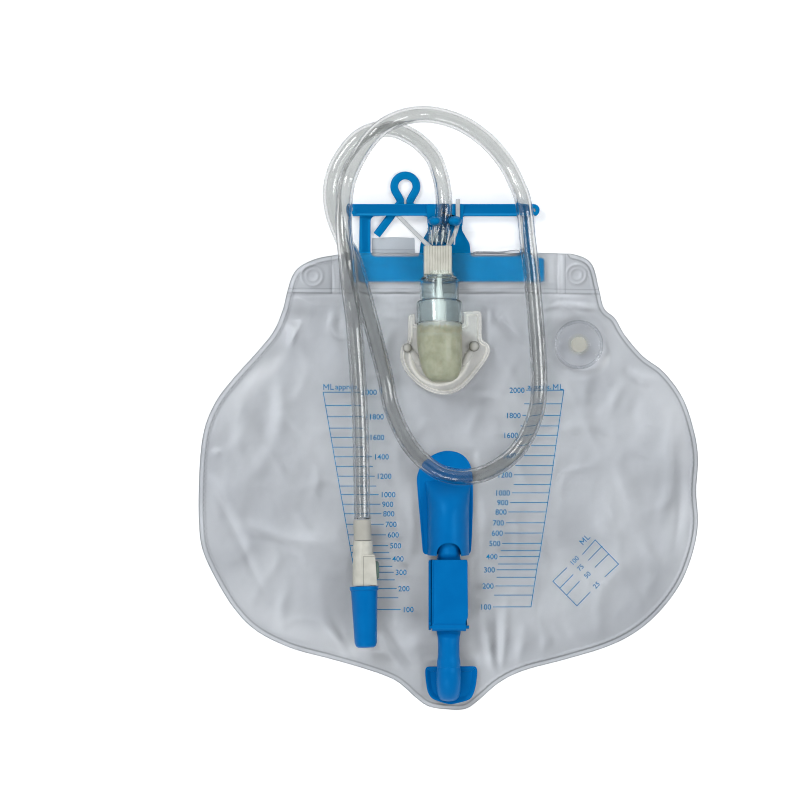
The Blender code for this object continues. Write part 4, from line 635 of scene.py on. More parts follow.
# The front sheet's colour: its own tone from mottle and streaks, darker at the pressed weld lines, and
# painted light from the painted fold light and the painted sheen on raised beads
tone_and_painted_light = 0.72 + 0.10 * mottle + 0.07 * (streaks - 0.5) + 0.90 * painted_fold_light + 0.10 * raised.capped()
tone_and_painted_light = (tone_and_painted_light - 0.30 * pressed.capped()).capped().math("MAXIMUM", 0.35)
film.dress({
    "Base Color": film.blend(tone_and_painted_light, (0.0, 0.0, 0.0), (1.0, 1.0, 1.0)), "Roughness": 0.22 + 0.20 * mottle})
film.relief(film.cloud(240.0, 5.0, (1.0, 0.6, 1.0)) + 0.5 * film.cloud(700.0, 2.0), 0.00012, 0.6)
film.pass_light((0.955, 0.96, 0.965))
plain_film = material("back film", {"IOR": 1.50, "Transmission Weight": 0.9, "Roughness": 0.3})
x, y, z = plain_film.axes()
pressed = y.near(0.1150, 0.0005) + y.near(0.1128, 0.0006)
mottle = plain_film.cloud(22.0, 6.0, seed=9.0)
tint = plain_film.blend(mottle.between(0.25, 0.75), (0.515, 0.53, 0.555), (0.645, 0.66, 0.68))
tint = plain_film.blend(y.between(0.1126, 0.1130), tint, (0.50, 0.53, 0.56))
plain_film.dress({"Base Color": plain_film.blend(pressed * 0.5, tint, (0.25, 0.27, 0.31))})
plain_film.relief(plain_film.cloud(120.0, 4.0, seed=5.0), 0.0003, 0.5)
plain_film.pass_light((0.87, 0.88, 0.89))
for mesh, node, finish in ((bag_front, "bag_front_film", film), (bag_back, "bag_back_film", plain_film)):
    mesh.materials.append(finish.owner)
    sheet = linked(mesh.name, mesh)
    gauge = sheet.modifiers.new("gauge", "SOLIDIFY")
    gauge.thickness, gauge.offset = FILM, -1.0
    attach(sheet, "bag")
    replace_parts(sheet, node)

# Printed scales: blue ink on the front sheet, a stepped scale of millilitres down each side and a small
# one set at 45 degrees for the bag's corner. Each mark is a film of ink that follows the sheet.
INK_WIDTH, INK_LETTER, INK_THICK, INK_GAP = 0.00048, 0.0046, 0.00005, 0.00004
SCALE_LABELS = [
    "2000", "", "1800", "", "1600", "", "1400", "", "1200", "", "1000", "900", "800", "700", "600", "500",
    "", "400", "", "300", "", "200", "", "100"]
# Each mark's y, outer x and inner x in the picture
LEFT_TICKS = [
    (392.2, 323.0, 359.5), (405.5, 325.2, 360.5), (416.8, 327.2, 366.5), (428.2, 329.2, 363.5),
    (437.4, 330.8, 367.0), (447.3, 332.5, 366.5), (456.9, 334.2, 371.6), (466.8, 336.0, 372.4),
    (476.4, 337.6, 374.2), (486.3, 339.3, 375.8), (494.8, 340.8, 378.2), (504.5, 342.5, 379.9),
    (514.0, 344.2, 381.0), (524.6, 346.0, 383.2), (535.2, 347.9, 385.5), (546.0, 349.8, 387.8),
    (553.1, 351.0, 388.8), (559.2, 352.1, 390.3), (566.8, 353.3, 391.9), (572.7, 353.8, 393.3),
    (580.3, 354.4, 394.2), (589.1, 355.2, 396.2), (598.3, 355.9, 397.9), (610.1, 356.8, 400.3)]
RIGHT_TICKS = [
    (390.2, 564.2, 527.0), (403.8, 562.3, 524.9), (415.5, 560.8, 523.1), (426.0, 559.3, 521.3),
    (435.4, 558.0, 520.5), (445.8, 556.5, 517.3), (455.8, 555.1, 518.6), (465.8, 553.7, 516.0),
    (475.0, 552.4, 514.6), (484.8, 551.0, 514.3), (493.1, 549.6, 512.4), (502.8, 548.1, 510.7),
    (512.2, 546.7, 509.0), (523.1, 545.0, 506.4), (533.4, 543.4, 505.2), (543.7, 541.8, 502.7),
    (551.1, 540.6, 501.3), (557.0, 539.7, 499.9), (564.4, 537.9, 498.7), (570.2, 537.0, 497.3),
    (577.7, 535.8, 497.2), (586.4, 534.5, 496.0), (595.6, 533.1, 494.7), (607.4, 531.3, 493.5)]
CORNER_LINES = [
    ((583.1, 554.7), (595.7, 540.3), (619.0, 564.5), (605.5, 577.1)), ((602.6, 546.6), (589.1, 560.5)),
    ((609.2, 554.3), (595.7, 567.6)), ((567.0, 568.4), (553.3, 581.7), (577.4, 606.4), (590.3, 593.0)),
    ((560.2, 588.7), (573.3, 575.3)), ((567.0, 595.7), (579.7, 582.0))]


def ink_stroke(bm, points):
    """A line of ink through picture pixels, as a flat strip cut into short steps."""
    for start, end in zip(points, points[1:]):
        a, b = Vector((*seen_at(*start), 0.0)), Vector((*seen_at(*end), 0.0))
        length = (b - a).length + INK_WIDTH
        steps = max(2, round(length / 0.0012))
        strip = bmesh.ops.create_grid(bm, x_segments=steps, y_segments=1, size=0.5)["verts"]
        turn = Matrix.Rotation(math.atan2(b.y - a.y, b.x - a.x), 4, "Z")
        spread = Matrix.Diagonal((length, INK_WIDTH, 1.0, 1.0))
        bmesh.ops.transform(bm, verts=strip, matrix=Matrix.Translation((a + b) / 2) @ turn @ spread)


def ink_words(bm, words, x, y, align="LEFT", turn=0.0, size=INK_LETTER):
    """Letters or figures of ink at a picture pixel, which is the middle of their height."""
    text = bpy.data.curves.new("words", "FONT")
    text.body, text.align_x, text.resolution_u, text.offset = words, align, 3, 0.012
    letters = bpy.data.objects.new("words", text)
    shape = bpy.data.meshes.new_from_object(letters)
    place = Matrix.Translation((*seen_at(x, y), 0.0)) @ Matrix.Rotation(math.radians(turn), 4, "Z")
    shape.transform(place @ Matrix.Scale(size, 4) @ Matrix.Translation((0.0, -0.35, 0.0)))
    bm.from_mesh(shape)
    bpy.data.objects.remove(letters)
    bpy.data.curves.remove(text)
    bpy.data.meshes.remove(shape)


def ink_unit(bm, x, y, turn=0.0):
    """The letters ML drawn in strokes, from the pixel at the foot of the M."""
    around = Matrix.Rotation(-math.radians(turn), 2)
    for letter in ([(0, 0), (0, -5), (2.3, -1.6), (4.6, -5), (4.6, 0)], [(7.0, -5), (7.0, 0), (9.8, 0)]):
        ink_stroke(bm, [tuple(Vector((x, y)) + around @ Vector(p)) for p in letter])


def lifted(bm, extruded, rise):
    """Moves what an extrusion made straight up."""
    moved = [v for v in extruded["geom"] if isinstance(v, bmesh.types.BMVert)]
    bmesh.ops.translate(bm, verts=moved, vec=(0, 0, rise))


def printed(name, bm):
    """Lays flat ink on the front sheet and gives it its thickness."""
    lifted(bm, bmesh.ops.extrude_face_region(bm, geom=bm.faces[:]), INK_THICK)
    for vert in bm.verts:
        hit = film_surface.ray_cast(Vector((vert.co.x, vert.co.y, 0.1)), Vector((0.0, 0.0, -1.0)))[0]
        vert.co.z += hit.z + INK_GAP
    bmesh.ops.recalc_face_normals(bm, faces=bm.faces)
    mesh = mesh_of(name, bm)
    mesh.materials.append(ink.owner)
    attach(linked(name, mesh), "bag")


ink = material("blue ink", {"Roughness": 0.45, "Specular IOR Level": 0.1})
ink.dress({"Base Color": ink.blend(
    ink.cloud(500.0, 3.0).between(0.3, 0.7), (0.0, 0.180, 0.42), (0.0, 0.235, 0.50))})
for name, ticks, side in (("left_scale", LEFT_TICKS, 1), ("right_scale", RIGHT_TICKS, -1)):
    bm = bmesh.new()
    anchor = "LEFT" if side > 0 else "RIGHT"
    ink_stroke(bm, [(ticks[k][1], ticks[k][0]) for k in (0, 10, 17, 18, 23)])
    for (y, start, end), label in zip(ticks, SCALE_LABELS):
        ink_stroke(bm, [(start, y), (end, y)])
        if label:
            ink_words(bm, label, end + 2.0 * side, y, anchor)
    ink_unit(bm, ticks[0][1] + (0.6 if side > 0 else -10.4), 389.4)
    ink_words(bm, "approx.", ticks[0][1] + (12.0 if side > 0 else -12.5), 386.6, anchor)
    printed(name, bm)
bm = bmesh.new()
for points in CORNER_LINES:
    ink_stroke(bm, points)
ink_unit(bm, 583.6, 545.0, 45.0)
for label, x, y in (("100", 574.8, 561.0), ("75", 580.9, 568.0), ("50", 587.8, 575.3), ("25", 596.9, 585.5)):
    ink_words(bm, label, x, y, "CENTER", 45.0, 0.0040)
printed("corner_scale", bm)


def merged_copy(node):
    """The mesh of a CAD node with its loose triangles joined."""
    bm = bmesh.new()
    bm.from_mesh(frame["nodes"][node].data)
    bmesh.ops.remove_doubles(bm, verts=bm.verts, dist=1e-6)
    bmesh.ops.dissolve_limit(bm, angle_limit=math.radians(0.6), verts=bm.verts, edges=bm.edges)
    return bm


def placed(name, bm, finish, body, corner=35):
    """Makes a piece of a bmesh, which rides on a body."""
    mesh = mesh_of(name, bm)
    mesh.shade_smooth()
    mesh.set_sharp_from_angle(angle=math.radians(corner))
    mesh.materials.append(finish.owner)
    piece = linked(name, mesh)
    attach(piece, body)
    return piece


def rounded(piece, width=0.0003, segments=3, corner=25):
    """Rounds the edges of a piece."""
    rounding = piece.modifiers.new("rounded edges", "BEVEL")
    rounding.width, rounding.segments = width, segments
    rounding.limit_method, rounding.angle_limit = "ANGLE", math.radians(corner)
    rounding.harden_normals = True
    return piece


def dressed(node, name, finish, edge=0.00025, segments=2, corner=35, shape=None):
    """Stands a copy of a CAD node in for it, with its edges rounded, in a finish of its own."""
    bm = merged_copy(node)
    if shape:
        shape(bm)
    piece = placed(name, bm, finish, frame["nodes"][node]["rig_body"], corner)
    if edge:
        rounded(piece, edge, segments, corner)
    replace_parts(piece, node)
    return piece


def softened(node, name, finish, grain=0.00045, rounds=6, shape=None):
    """The same for soft rubber and thick mouldings, whose edges all run into each other."""
    piece = dressed(node, name, finish, 0.0, corner=180, shape=shape)
    fine = piece.modifiers.new("fine skin", "REMESH")
    fine.mode, fine.voxel_size, fine.use_smooth_shade = "VOXEL", grain, True
    soft = piece.modifiers.new("soft edges", "SMOOTH")
    soft.factor, soft.iterations = 0.5, rounds
    return piece


def skin(rings, closed=False):
    """Bridges rings of points, one after another, into a skin."""
    bm = bmesh.new()
    loops = [[bm.verts.new(p) for p in ring] for ring in rings]
    for loop in loops:
        for pair in zip(loop, loop[1:] + loop[:1] if closed else loop[1:]):
            bm.edges.new(pair)
    for first, second in zip(loops, loops[1:]):
        ends = [bm.edges.get(pair) for loop in (first, second)
                for pair in zip(loop, loop[1:] + loop[:1] if closed else loop[1:])]
        bmesh.ops.bridge_loops(bm, edges=ends)
    return bm


def closed_up(bm):
    """Fills the open ends of a skin and turns its faces outwards."""
    bmesh.ops.holes_fill(bm, edges=[e for e in bm.edges if e.is_boundary], sides=0)
    bmesh.ops.recalc_face_normals(bm, faces=bm.faces)
    return bm


def settled(bm, made, size, at, turn=0.0):
    """Gives a new shape its size, turns it in plan and moves it to its place."""
    bmesh.ops.scale(bm, verts=made["verts"], vec=size)
    turned = Matrix.Rotation(math.radians(turn), 3, "Z")
    bmesh.ops.rotate(bm, verts=made["verts"], cent=(0, 0, 0), matrix=turned)
    bmesh.ops.translate(bm, verts=made["verts"], vec=at)


def strip(name, points, half_width, half_height, finish, slot):
    """A soft flat cord or fold through the points, which rides on the bag."""
    line = smoothed(points, 8)
    rings = []
    for k, point in enumerate(line):
        along = (line[min(k + 1, len(line) - 1)] - line[max(k - 1, 0)]).normalized()
        across = Vector((along.y, -along.x, 0.0)).normalized()
        up = across.cross(along)
        rings.append([point + across * half_width * math.cos(t) + up * half_height * math.sin(t)
                      for t in turns_of(16)])
    return placed(name, closed_up(skin(rings, closed=True)), finish, "bag", 50)


# Hanger: one blue polypropylene moulding with a sunk rail and ladder, whose bar is inside the sleeve.
# A hook turns on a rivet in the rail, and two round lobes in the middle clip the hose.
SUNK_FACE, SUNK_DEEPER, CLIP_TOP = 0.0067, 0.0062, 0.0071
CLIP_MOUTH = (-0.0026, 0.1378)
RAIL_END, CURL_GROWTH = (0.0512, 0.1421), 1.22
HOOK_SLIT = ((-0.02665, 0.1400, 0.0), (-0.02535, 0.1488, 0.005))
blue = material("blue polypropylene", {
    "IOR": 1.49, "Specular IOR Level": 0.40, "Specular Tint": (0.08, 0.55, 1.0, 1.0)})
x, y, z = blue.axes()
mottle = blue.cloud(90.0, 3.0)
# Painted shade: a dark patch in the clip's mouth, where the hose lies over the rail
mouth = (((x - CLIP_MOUTH[0]) / 0.0034) ** 2 + ((y - CLIP_MOUTH[1]) / 0.0050) ** 2) ** 0.5
blue_and_painted_light = blue.blend(mottle, (0.0, 0.135, 0.430), (0.0, 0.175, 0.510))
blue_and_painted_light = blue.blend(y.between(0.088, 0.092), blue_and_painted_light, (0.0, 0.185, 0.460))
# Painted shade: the floor of the rail's sunk faces is darker blue, and so is the left post; a painted
# highlight runs along the sunk floor near its lower edge
sunk = z.near(SUNK_DEEPER, 0.0005, 0.0003) * y.between(0.1346, 0.1350)
post = x.near(-0.0502, 0.0021, 0.0014) * y.between(0.1122, 0.1140) * y.between(0.1335, 0.1325)
lit = y.near(0.1360, 0.0006) * sunk
blue_and_painted_light = blue.blend((sunk + post).capped() * 0.6, blue_and_painted_light, (0.0, 0.115, 0.34))
blue_and_painted_light = blue.blend(lit * 0.8, blue_and_painted_light, (0.02, 0.33, 0.70))
# Painted light: the bar inside the sleeve gets a brighter blue, making up for the light that the film over it
# takes
sleeved = y.between(0.1136, 0.1122) * y.between(0.0930, 0.0940)
blue_and_painted_light = blue.blend(sleeved, blue_and_painted_light, (0.0, 0.240, 0.54))
blue_and_painted_light = blue.blend(mouth.between(1.15, 0.75) * 0.8, blue_and_painted_light, (0.0, 0.03, 0.10))
blue.dress({"Base Color": blue_and_painted_light, "Roughness": 0.32 + 0.12 * mottle})
blue.relief(blue.cloud(900.0, 2.0) + 0.6 * blue.cloud(120.0, 2.0), 0.00008, 0.6)


def shape_hanger(bm):
    """Sets the rail's sunk faces deeper, so that their walls show, and lowers the clip under its lobes."""
    for vert in bm.verts:
        if abs(vert.co.z - SUNK_FACE) < 0.00012:
            vert.co.z = SUNK_DEEPER
        if abs(vert.co.x + 0.0037) < 0.0125 and 0.1210 < vert.co.y < 0.1430:
            vert.co.z = min(vert.co.z, CLIP_TOP)
        if vert.co.x > RAIL_END[0] + 0.00001 and vert.co.y > 0.13:
            vert.co.x = RAIL_END[0] + CURL_GROWTH * (vert.co.x - RAIL_END[0])
            vert.co.y = RAIL_END[1] + CURL_GROWTH * (vert.co.y - RAIL_END[1])


def cut_away(piece, low, high, arch):
    """Cuts a box out of a piece for good, with its two far upright corners rounded."""
    bm = bmesh.new()
    low, high = Vector(low), Vector(high)
    settled(bm, bmesh.ops.create_cube(bm, size=1.0), high - low, (low + high) / 2)
    ends = [e for e in bm.edges if all(v.co.y > low[1] + 1e-6 for v in e.verts)
            and abs(e.verts[0].co.z - e.verts[1].co.z) > 1e-6]
    bmesh.ops.bevel(bm, geom=ends, affect="EDGES", offset=arch, segments=12, profile=0.5, material=-1)
    cutter = linked("cutter", mesh_of("cutter", bm))
    cut = piece.modifiers.new("cut", "BOOLEAN")
    cut.operation, cut.object = "DIFFERENCE", cutter
    finished = bpy.data.meshes.new_from_object(piece.evaluated_get(bpy.context.evaluated_depsgraph_get()))
    piece.modifiers.clear()
    piece.data = finished
    bpy.data.objects.remove(cutter)


dressed("hanger_frame", "hanger", blue, 0.0003, shape=shape_hanger)
cut_away(softened("bed_hook", "hook", blue, 0.00035, 4), *HOOK_SLIT, 0.0005)
dressed("hook_pin", "hook_rivet", blue)
FILM_ROLL = [
    (472.5, 256.5), (475.0, 253.2), (483.0, 252.6), (500.0, 252.9), (513.0, 251.4), (518.0, 251.3),
    (519.5, 255.5)]
roll = material("rolled film edge", {"IOR": 1.4, "Transmission Weight": 1.0})
# Painted shade: the roll's colour darkens where it is seen edge on, for the dark rims that refraction shows
edgewise = roll.facing()
roll.dress({
    "Base Color": roll.blend(edgewise.between(0.2, 0.8), (0.86, 0.87, 0.89), (0.42, 0.45, 0.49)),
    "Roughness": 0.15 + 0.2 * roll.cloud(200.0)})
strip("film_roll", [(*seen_at(*p), 0.0036) for p in FILM_ROLL], 0.0011, 0.0010, roll, "clear_film")
bm = bmesh.new()
for lobe_x in (-0.0080, 0.0037):
    lobe = bmesh.ops.create_uvsphere(bm, u_segments=40, v_segments=24, radius=1.0)
    settled(bm, lobe, (0.0043, 0.0030, 0.0058), (lobe_x, 0.1316, 0.0122))
placed("clip_lobes", bm, blue, "bag", 180)

# Drip chamber: a clear turned tube over the valve, with a blown soft cup at its foot. A cream grip block
# with ribs closes its head and holds the hose in a clear collar with fins.
PANEL = (0.0509, -0.0692)
CUP_TOP_Y, CUP_CLEAR_Y = 0.0735, 0.0600
FIN_PLACES = [(431.8, -4.0), (436.6, 3.0), (442.4, 9.0), (448.2, 12.0), (454.6, 4.0)]
clear = material("clear moulding", {
    "Roughness": 0.14, "IOR": 1.18, "Transmission Weight": 1.0, "Coat Weight": 0.5, "Coat Roughness": 0.12})
# Painted shade: the clear moulding's colour darkens where it is seen edge on, for the dark rims that
# refraction shows
edgewise = clear.facing()
clear.dress({
    "Base Color": clear.blend(edgewise.between(0.35, 0.98), (0.76, 0.83, 0.83), (0.42, 0.52, 0.53))})
clear.relief(clear.cloud(260.0, 3.0), 0.0002, 0.4)
clear.pass_light((0.95, 0.97, 0.97))
milky = material("milky moulding", {"IOR": 1.47})
grain = milky.cloud(900.0, 4.0)
haze = milky.cloud(110.0, 4.0, seed=3.0)
bead = milky.stored("bead")
share = grain.between(0.3, 0.7) * 0.4 + bead * 0.6
milky.dress({
    "Base Color": milky.blend(share, (0.78, 0.78, 0.77), (0.88, 0.87, 0.81)),
    "Roughness": 0.22 + 0.2 * haze, "Alpha": 0.42 + 0.30 * haze + 0.40 * bead})
milky.relief(grain, 0.0002, 0.5)
olive = material("olive soft PVC", {"IOR": 1.5, "Subsurface Weight": 0.15})
x, y, z = olive.axes()
cloudy = olive.cloud(180.0, 4.0, (1.0, 1.0, 1.0), 2.0)
# Ripples across the top of the cup: real ripples in its bump, and painted reflections of the rim as lighter
# arcs in its colour
ripples_and_sheen = (y * 900.0 + 3.0 * olive.cloud(260.0, 2.0)).math("SINE")
share = y.between(CUP_TOP_Y, CUP_CLEAR_Y)
tone = olive.blend(cloudy.between(0.3, 0.7), (0.38, 0.375, 0.26), (0.50, 0.49, 0.355))
olive.dress({
    "Base Color": olive.blend((1.0 - share) * ripples_and_sheen.between(0.0, 0.9), tone, (0.50, 0.54, 0.50)),
    "Roughness": 0.25 + 0.2 * cloudy, "Alpha": 0.32 + 0.56 * share})
olive.relief(ripples_and_sheen * (1.0 - share) + cloudy, 0.0004, 0.5)
cream = material("cream moulding", {"IOR": 1.48})
x, y, z = cream.axes()
tinge = cream.cloud(140.0, 3.0)
tone = cream.blend(tinge.between(0.3, 0.7), (0.55, 0.545, 0.48), (0.66, 0.65, 0.58))
outline = x.near(-PANEL[0], 0.00035) * y.between(PANEL[1] + 0.0001, PANEL[1] - 0.0001)
outline = outline + y.near(PANEL[1], 0.00035) * x.between(-PANEL[0] - 0.0001, -PANEL[0])
outline = outline * y.between(PANEL[1] + 0.0006, PANEL[1] + 0.0003)
cream.dress({
    "Base Color": cream.blend(outline * 0.6, tone, (0.16, 0.16, 0.14)), "Roughness": 0.32 + 0.15 * tinge})
cream.relief(cream.cloud(800.0, 2.0), 0.00006, 0.5)
stem_white = material("white stem", {"Base Color": (0.80, 0.82, 0.80, 1.0)})
stem_white.dress({"Roughness": 0.25 + 0.3 * stem_white.cloud(200.0)})
rubber = material("grey rubber", {"Specular IOR Level": 0.3})
rubber.dress({
    "Base Color": rubber.blend(rubber.cloud(700.0), (0.10, 0.17, 0.14), (0.19, 0.27, 0.23)),
    "Roughness": 0.55 + 0.2 * rubber.cloud(300.0)})
dressed("drip_chamber", "chamber", clear)
dressed("cap_collar", "collar", clear)


def lower_block(bm):
    """Seats the grip block a little lower on the chamber's head."""
    bmesh.ops.translate(bm, verts=bm.verts, vec=(-0.0010, -0.0022, 0.0))


def fill_out(bm):
    """Makes the cup's closed end fuller and a little longer."""
    for vert in bm.verts:
        share = min(max((0.0610 - vert.co.y) / 0.0240, 0.0), 0.985)
        fuller = (1.0 - share ** 2.9) ** (1 / 2.9) / math.sqrt(1.0 - share ** 2)
        vert.co.x = -0.0055 + 0.0016 * share + (vert.co.x + 0.0055) * fuller
        vert.co.y -= 0.0024 * share


dressed("cap_ring", "ring", clear, 0.0004)
dressed("chamber_cap", "cap_block", cream, shape=lower_block)
softened("anti_reflux_cup", "cup", olive, 0.0005, 8, fill_out)
dressed("reflux_leaflet", "leaflet", olive)
dressed("drip_nozzle", "nozzle", stem_white)
cord_grey = material("pale grey cord", {"Specular IOR Level": 0.3})
cord_grey.dress({
    "Base Color": cord_grey.blend(cord_grey.cloud(400.0), (0.47, 0.49, 0.50), (0.66, 0.68, 0.69)),
    "Roughness": 0.35 + 0.2 * cord_grey.cloud(90.0)})
TETHER = [(-0.0307, 0.1357, 0.0050), (-0.0290, 0.1338, 0.0062), (-0.0210, 0.1255, 0.0110),
          (-0.0137, 0.1182, 0.0150), (-0.0060, 0.1120, 0.0150)]
TETHER_END = [(0.0057, 0.1450, 0.0079), (0.0056, 0.1400, 0.0079), (0.0056, 0.1330, 0.0079),
              (0.0050, 0.1280, 0.0100), (0.0020, 0.1200, 0.0150), (-0.0040, 0.1120, 0.0150)]
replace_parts(strip("tether", TETHER, 0.0013, 0.0006, cord_grey, "cream_plastic"), "tether_cord")
strip("tether_end", TETHER_END, 0.0013, 0.0006, cord_grey, "cream_plastic")

bm = bmesh.new()
for fin_x, slant in FIN_PLACES:
    fin = bmesh.ops.create_cube(bm, size=1.0)
    settled(bm, fin, (0.0008, 0.0088, 0.0040), (seen_at(fin_x, 0.0)[0], 0.1215, 0.0165), -slant)
bmesh.ops.bevel(bm, geom=bm.edges[:], affect="EDGES", offset=0.0003, segments=3, profile=0.5, material=-1)
placed("collar_fins", bm, milky, "bag")

# Flange: the plate that carries the drip chamber, moulded in milky PVC and welded on the film. It has two
# ears, a double bead round its edge, and a glassy peg head in each ear.
FLANGE_DECK, FLANGE_THICK = 0.0050, 0.0012
FLANGE_OUTLINE = [
    (415.1, 313.8), (412.0, 314.0), (409.4, 314.8), (408.3, 317.0), (408.0, 326.0), (407.8, 337.0),
    (406.2, 342.4), (402.9, 344.2), (400.7, 349.0), (400.2, 357.0), (402.7, 366.0), (408.5, 375.4),
    (418.0, 384.7), (429.5, 391.6), (442.6, 394.6), (455.0, 392.6), (465.5, 385.9), (475.5, 374.9),
    (484.2, 363.5), (489.4, 354.5), (490.4, 348.4), (488.0, 343.2), (483.8, 340.9), (481.9, 336.1),
    (481.7, 325.0), (481.5, 314.0), (480.3, 311.4), (477.5, 310.8), (470.0, 311.2), (463.8, 311.7)]
FLANGE_PEGS = [(407.3, 347.8, 0.0028), (474.2, 346.2, 0.0032)]
CUP_FOOT, LIP_RADIUS = (-0.0055, 0.0512), 0.0172
# Corners of the gap between the plate's ears, where the chamber stands
FLANGE_NECK = [(0.00905, 0.0700), (-0.02005, 0.0700)]
edge = evenly(smoothed([(*seen_at(*p), 0.0) for p in FLANGE_OUTLINE], 5), 0.0009)[:, :2]
edge = np.concatenate([edge, evenly([edge[-1], *FLANGE_NECK, edge[0]], 0.0009)[1:-1]])
closed_edge = np.concatenate([edge, edge[:1]])


def flange_height(flat):
    """Top of the plate: a raised rim, a second bead inside it and a fine pebbled face."""
    depth = distance_to(flat, closed_edge)
    lip = np.hypot(*(flat - CUP_FOOT).T) - LIP_RADIUS
    top = 0.00040 * np.exp(-((depth - 0.0004) / 0.0004) ** 2)
    top += 0.0008 * np.exp(-((depth - 0.0022) / 0.0004) ** 2)
    top += 0.0011 * np.exp(-(lip / 0.0012) ** 2) * (flat[:, 1] < 0.0530)
    pebbles = np.array([noise.noise((px * 900, py * 900, 0.0)) for px, py in flat])
    return FLANGE_DECK + FLANGE_THICK - 0.0002 + top + 0.00006 * pebbles


(left, foot), (right, head) = edge.min(axis=0), edge.max(axis=0)
field = np.array([(fx, fy) for fx in np.arange(left, right, 0.0006) for fy in np.arange(foot, head, 0.0006)])
field = field[within(field, edge) & (distance_to(field, closed_edge) > 0.0004)]
mesh = sheet_mesh("flange", np.concatenate([edge, field]), edge, flange_height)[0]
raised = np.clip((flange_height(spread_of(mesh)) - FLANGE_DECK - FLANGE_THICK + 0.0001) / 0.0004, 0.0, 1.0)
carry(mesh, "bead", raised)
bm = bmesh.new()
bm.from_mesh(mesh)
flange = placed("flange", bm, milky, "bag", 60)
gauge = flange.modifiers.new("gauge", "SOLIDIFY")
gauge.thickness, gauge.offset = FLANGE_THICK - 0.0003, -1.0
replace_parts(flange, "chamber_flange")
bm = bmesh.new()
for peg_x, peg_y, radius in FLANGE_PEGS:
    peg = bmesh.ops.create_uvsphere(bm, u_segments=28, v_segments=14, radius=radius)
    settled(bm, peg, (1.0, 1.0, 1.0), (*seen_at(peg_x, peg_y), FLANGE_DECK + FLANGE_THICK + 0.55 * radius))
peg_glass = material("grey glassy peg", {"IOR": 1.5, "Specular IOR Level": 0.8})
# Painted shade: the pegs darken towards their rims as seen, standing in for the shading of their round heads
edgewise = peg_glass.facing()
peg_glass.dress({
    "Base Color": peg_glass.blend(edgewise.between(0.08, 0.75), (0.56, 0.56, 0.52), (0.20, 0.20, 0.18)),
    "Roughness": 0.12 + 0.2 * peg_glass.cloud(300.0)})
placed("flange_pegs", bm, peg_glass, "bag", 180)
bm = bmesh.new()
for tail_x, tail_y, slant in ((415.5, 357.5, -57.0), (467.8, 357.0, 61.0)):
    tail = bmesh.ops.create_uvsphere(bm, u_segments=24, v_segments=12, radius=1.0)
    settled(bm, tail, (0.0062, 0.0022, 0.0019), (*seen_at(tail_x, tail_y), FLANGE_DECK + FLANGE_THICK), slant)
placed("flange_tails", bm, milky, "bag", 180)

# Vent: a clear round housing, moulded in one piece and welded on the film. The cream filter disc inside it
# shows softly in its middle.
vent_clear = material("clear vent moulding", {"IOR": 1.25, "Transmission Weight": 1.0, "Roughness": 0.08})
x, y, z = vent_clear.axes()
away = ((x - VENT_AT[0]) ** 2 + (y - VENT_AT[1]) ** 2) ** 0.5
tint = vent_clear.blend(vent_clear.cloud(150.0), (0.93, 0.94, 0.96), (0.99, 0.99, 0.99))
tint = vent_clear.blend(away.near(0.0149, 0.0009) * 0.6, tint, (0.42, 0.44, 0.47))
tint = vent_clear.blend(away.between(0.0072, 0.0050) * 0.7, tint, (0.94, 0.935, 0.83))
vent_clear.dress({"Base Color": tint})
vent_clear.pass_light((0.985, 0.985, 0.99))
filter_cream = material("filter cream", {"Roughness": 0.8})
x, y, z = filter_cream.axes()
away = ((x - VENT_AT[0]) ** 2 + (y - VENT_AT[1]) ** 2) ** 0.5
filter_cream.dress({
    "Base Color": filter_cream.blend(filter_cream.cloud(500.0), (0.52, 0.52, 0.46), (0.66, 0.65, 0.58)),
    "Alpha": away.between(0.0053, 0.0038) * 0.62})
dressed("vent_filter", "vent_disc", filter_cream)
softened("vent_housing", "vent", vent_clear, 0.0005, 6)

# The bead round the housing's edge: radius, height, half width and half thickness
BEAD_RADIUS, BEAD_Z, BEAD_HALF, BEAD_RISE = 0.0136, 0.0054, 0.0007, 0.0006
bead = [(BEAD_RADIUS + BEAD_HALF * math.cos(t), BEAD_Z + BEAD_RISE * math.sin(t)) for t in turns_of(12)]
rings = [[(VENT_AT[0] + reach * math.cos(turn), VENT_AT[1] + reach * math.sin(turn), rise)
          for reach, rise in bead] for turn in np.linspace(0.0, 2 * math.pi, 97)]
bm = skin(rings, closed=True)
bmesh.ops.remove_doubles(bm, verts=bm.verts, dist=1e-6)
bmesh.ops.recalc_face_normals(bm, faces=bm.faces)
placed("vent_bead", bm, roll, "bag", 180)

# Catheter connector: a cream tapered body with a rubber sampling port, at the end of the hose. A beige
# sleeve joins it to the hose, and a blue cap that pulls off covers its tip.
sleeve_beige = material("beige sleeve", {"IOR": 1.48, "Specular IOR Level": 0.3})
sleeve_beige.dress({
    "Base Color": sleeve_beige.blend(sleeve_beige.cloud(120.0), (0.40, 0.395, 0.35), (0.52, 0.51, 0.46)),
    "Roughness": 0.35 + 0.2 * sleeve_beige.cloud(200.0)})
sleeve = dressed("tube_sleeve", "hose_sleeve", sleeve_beige)
body = dressed("connector_body", "connector", cream, 0.0004, 3)
port = softened("septum", "sample_port", rubber, 0.0003, 4)
cap = dressed("connector_cap", "connector_cover", blue, 0.0004, 3)

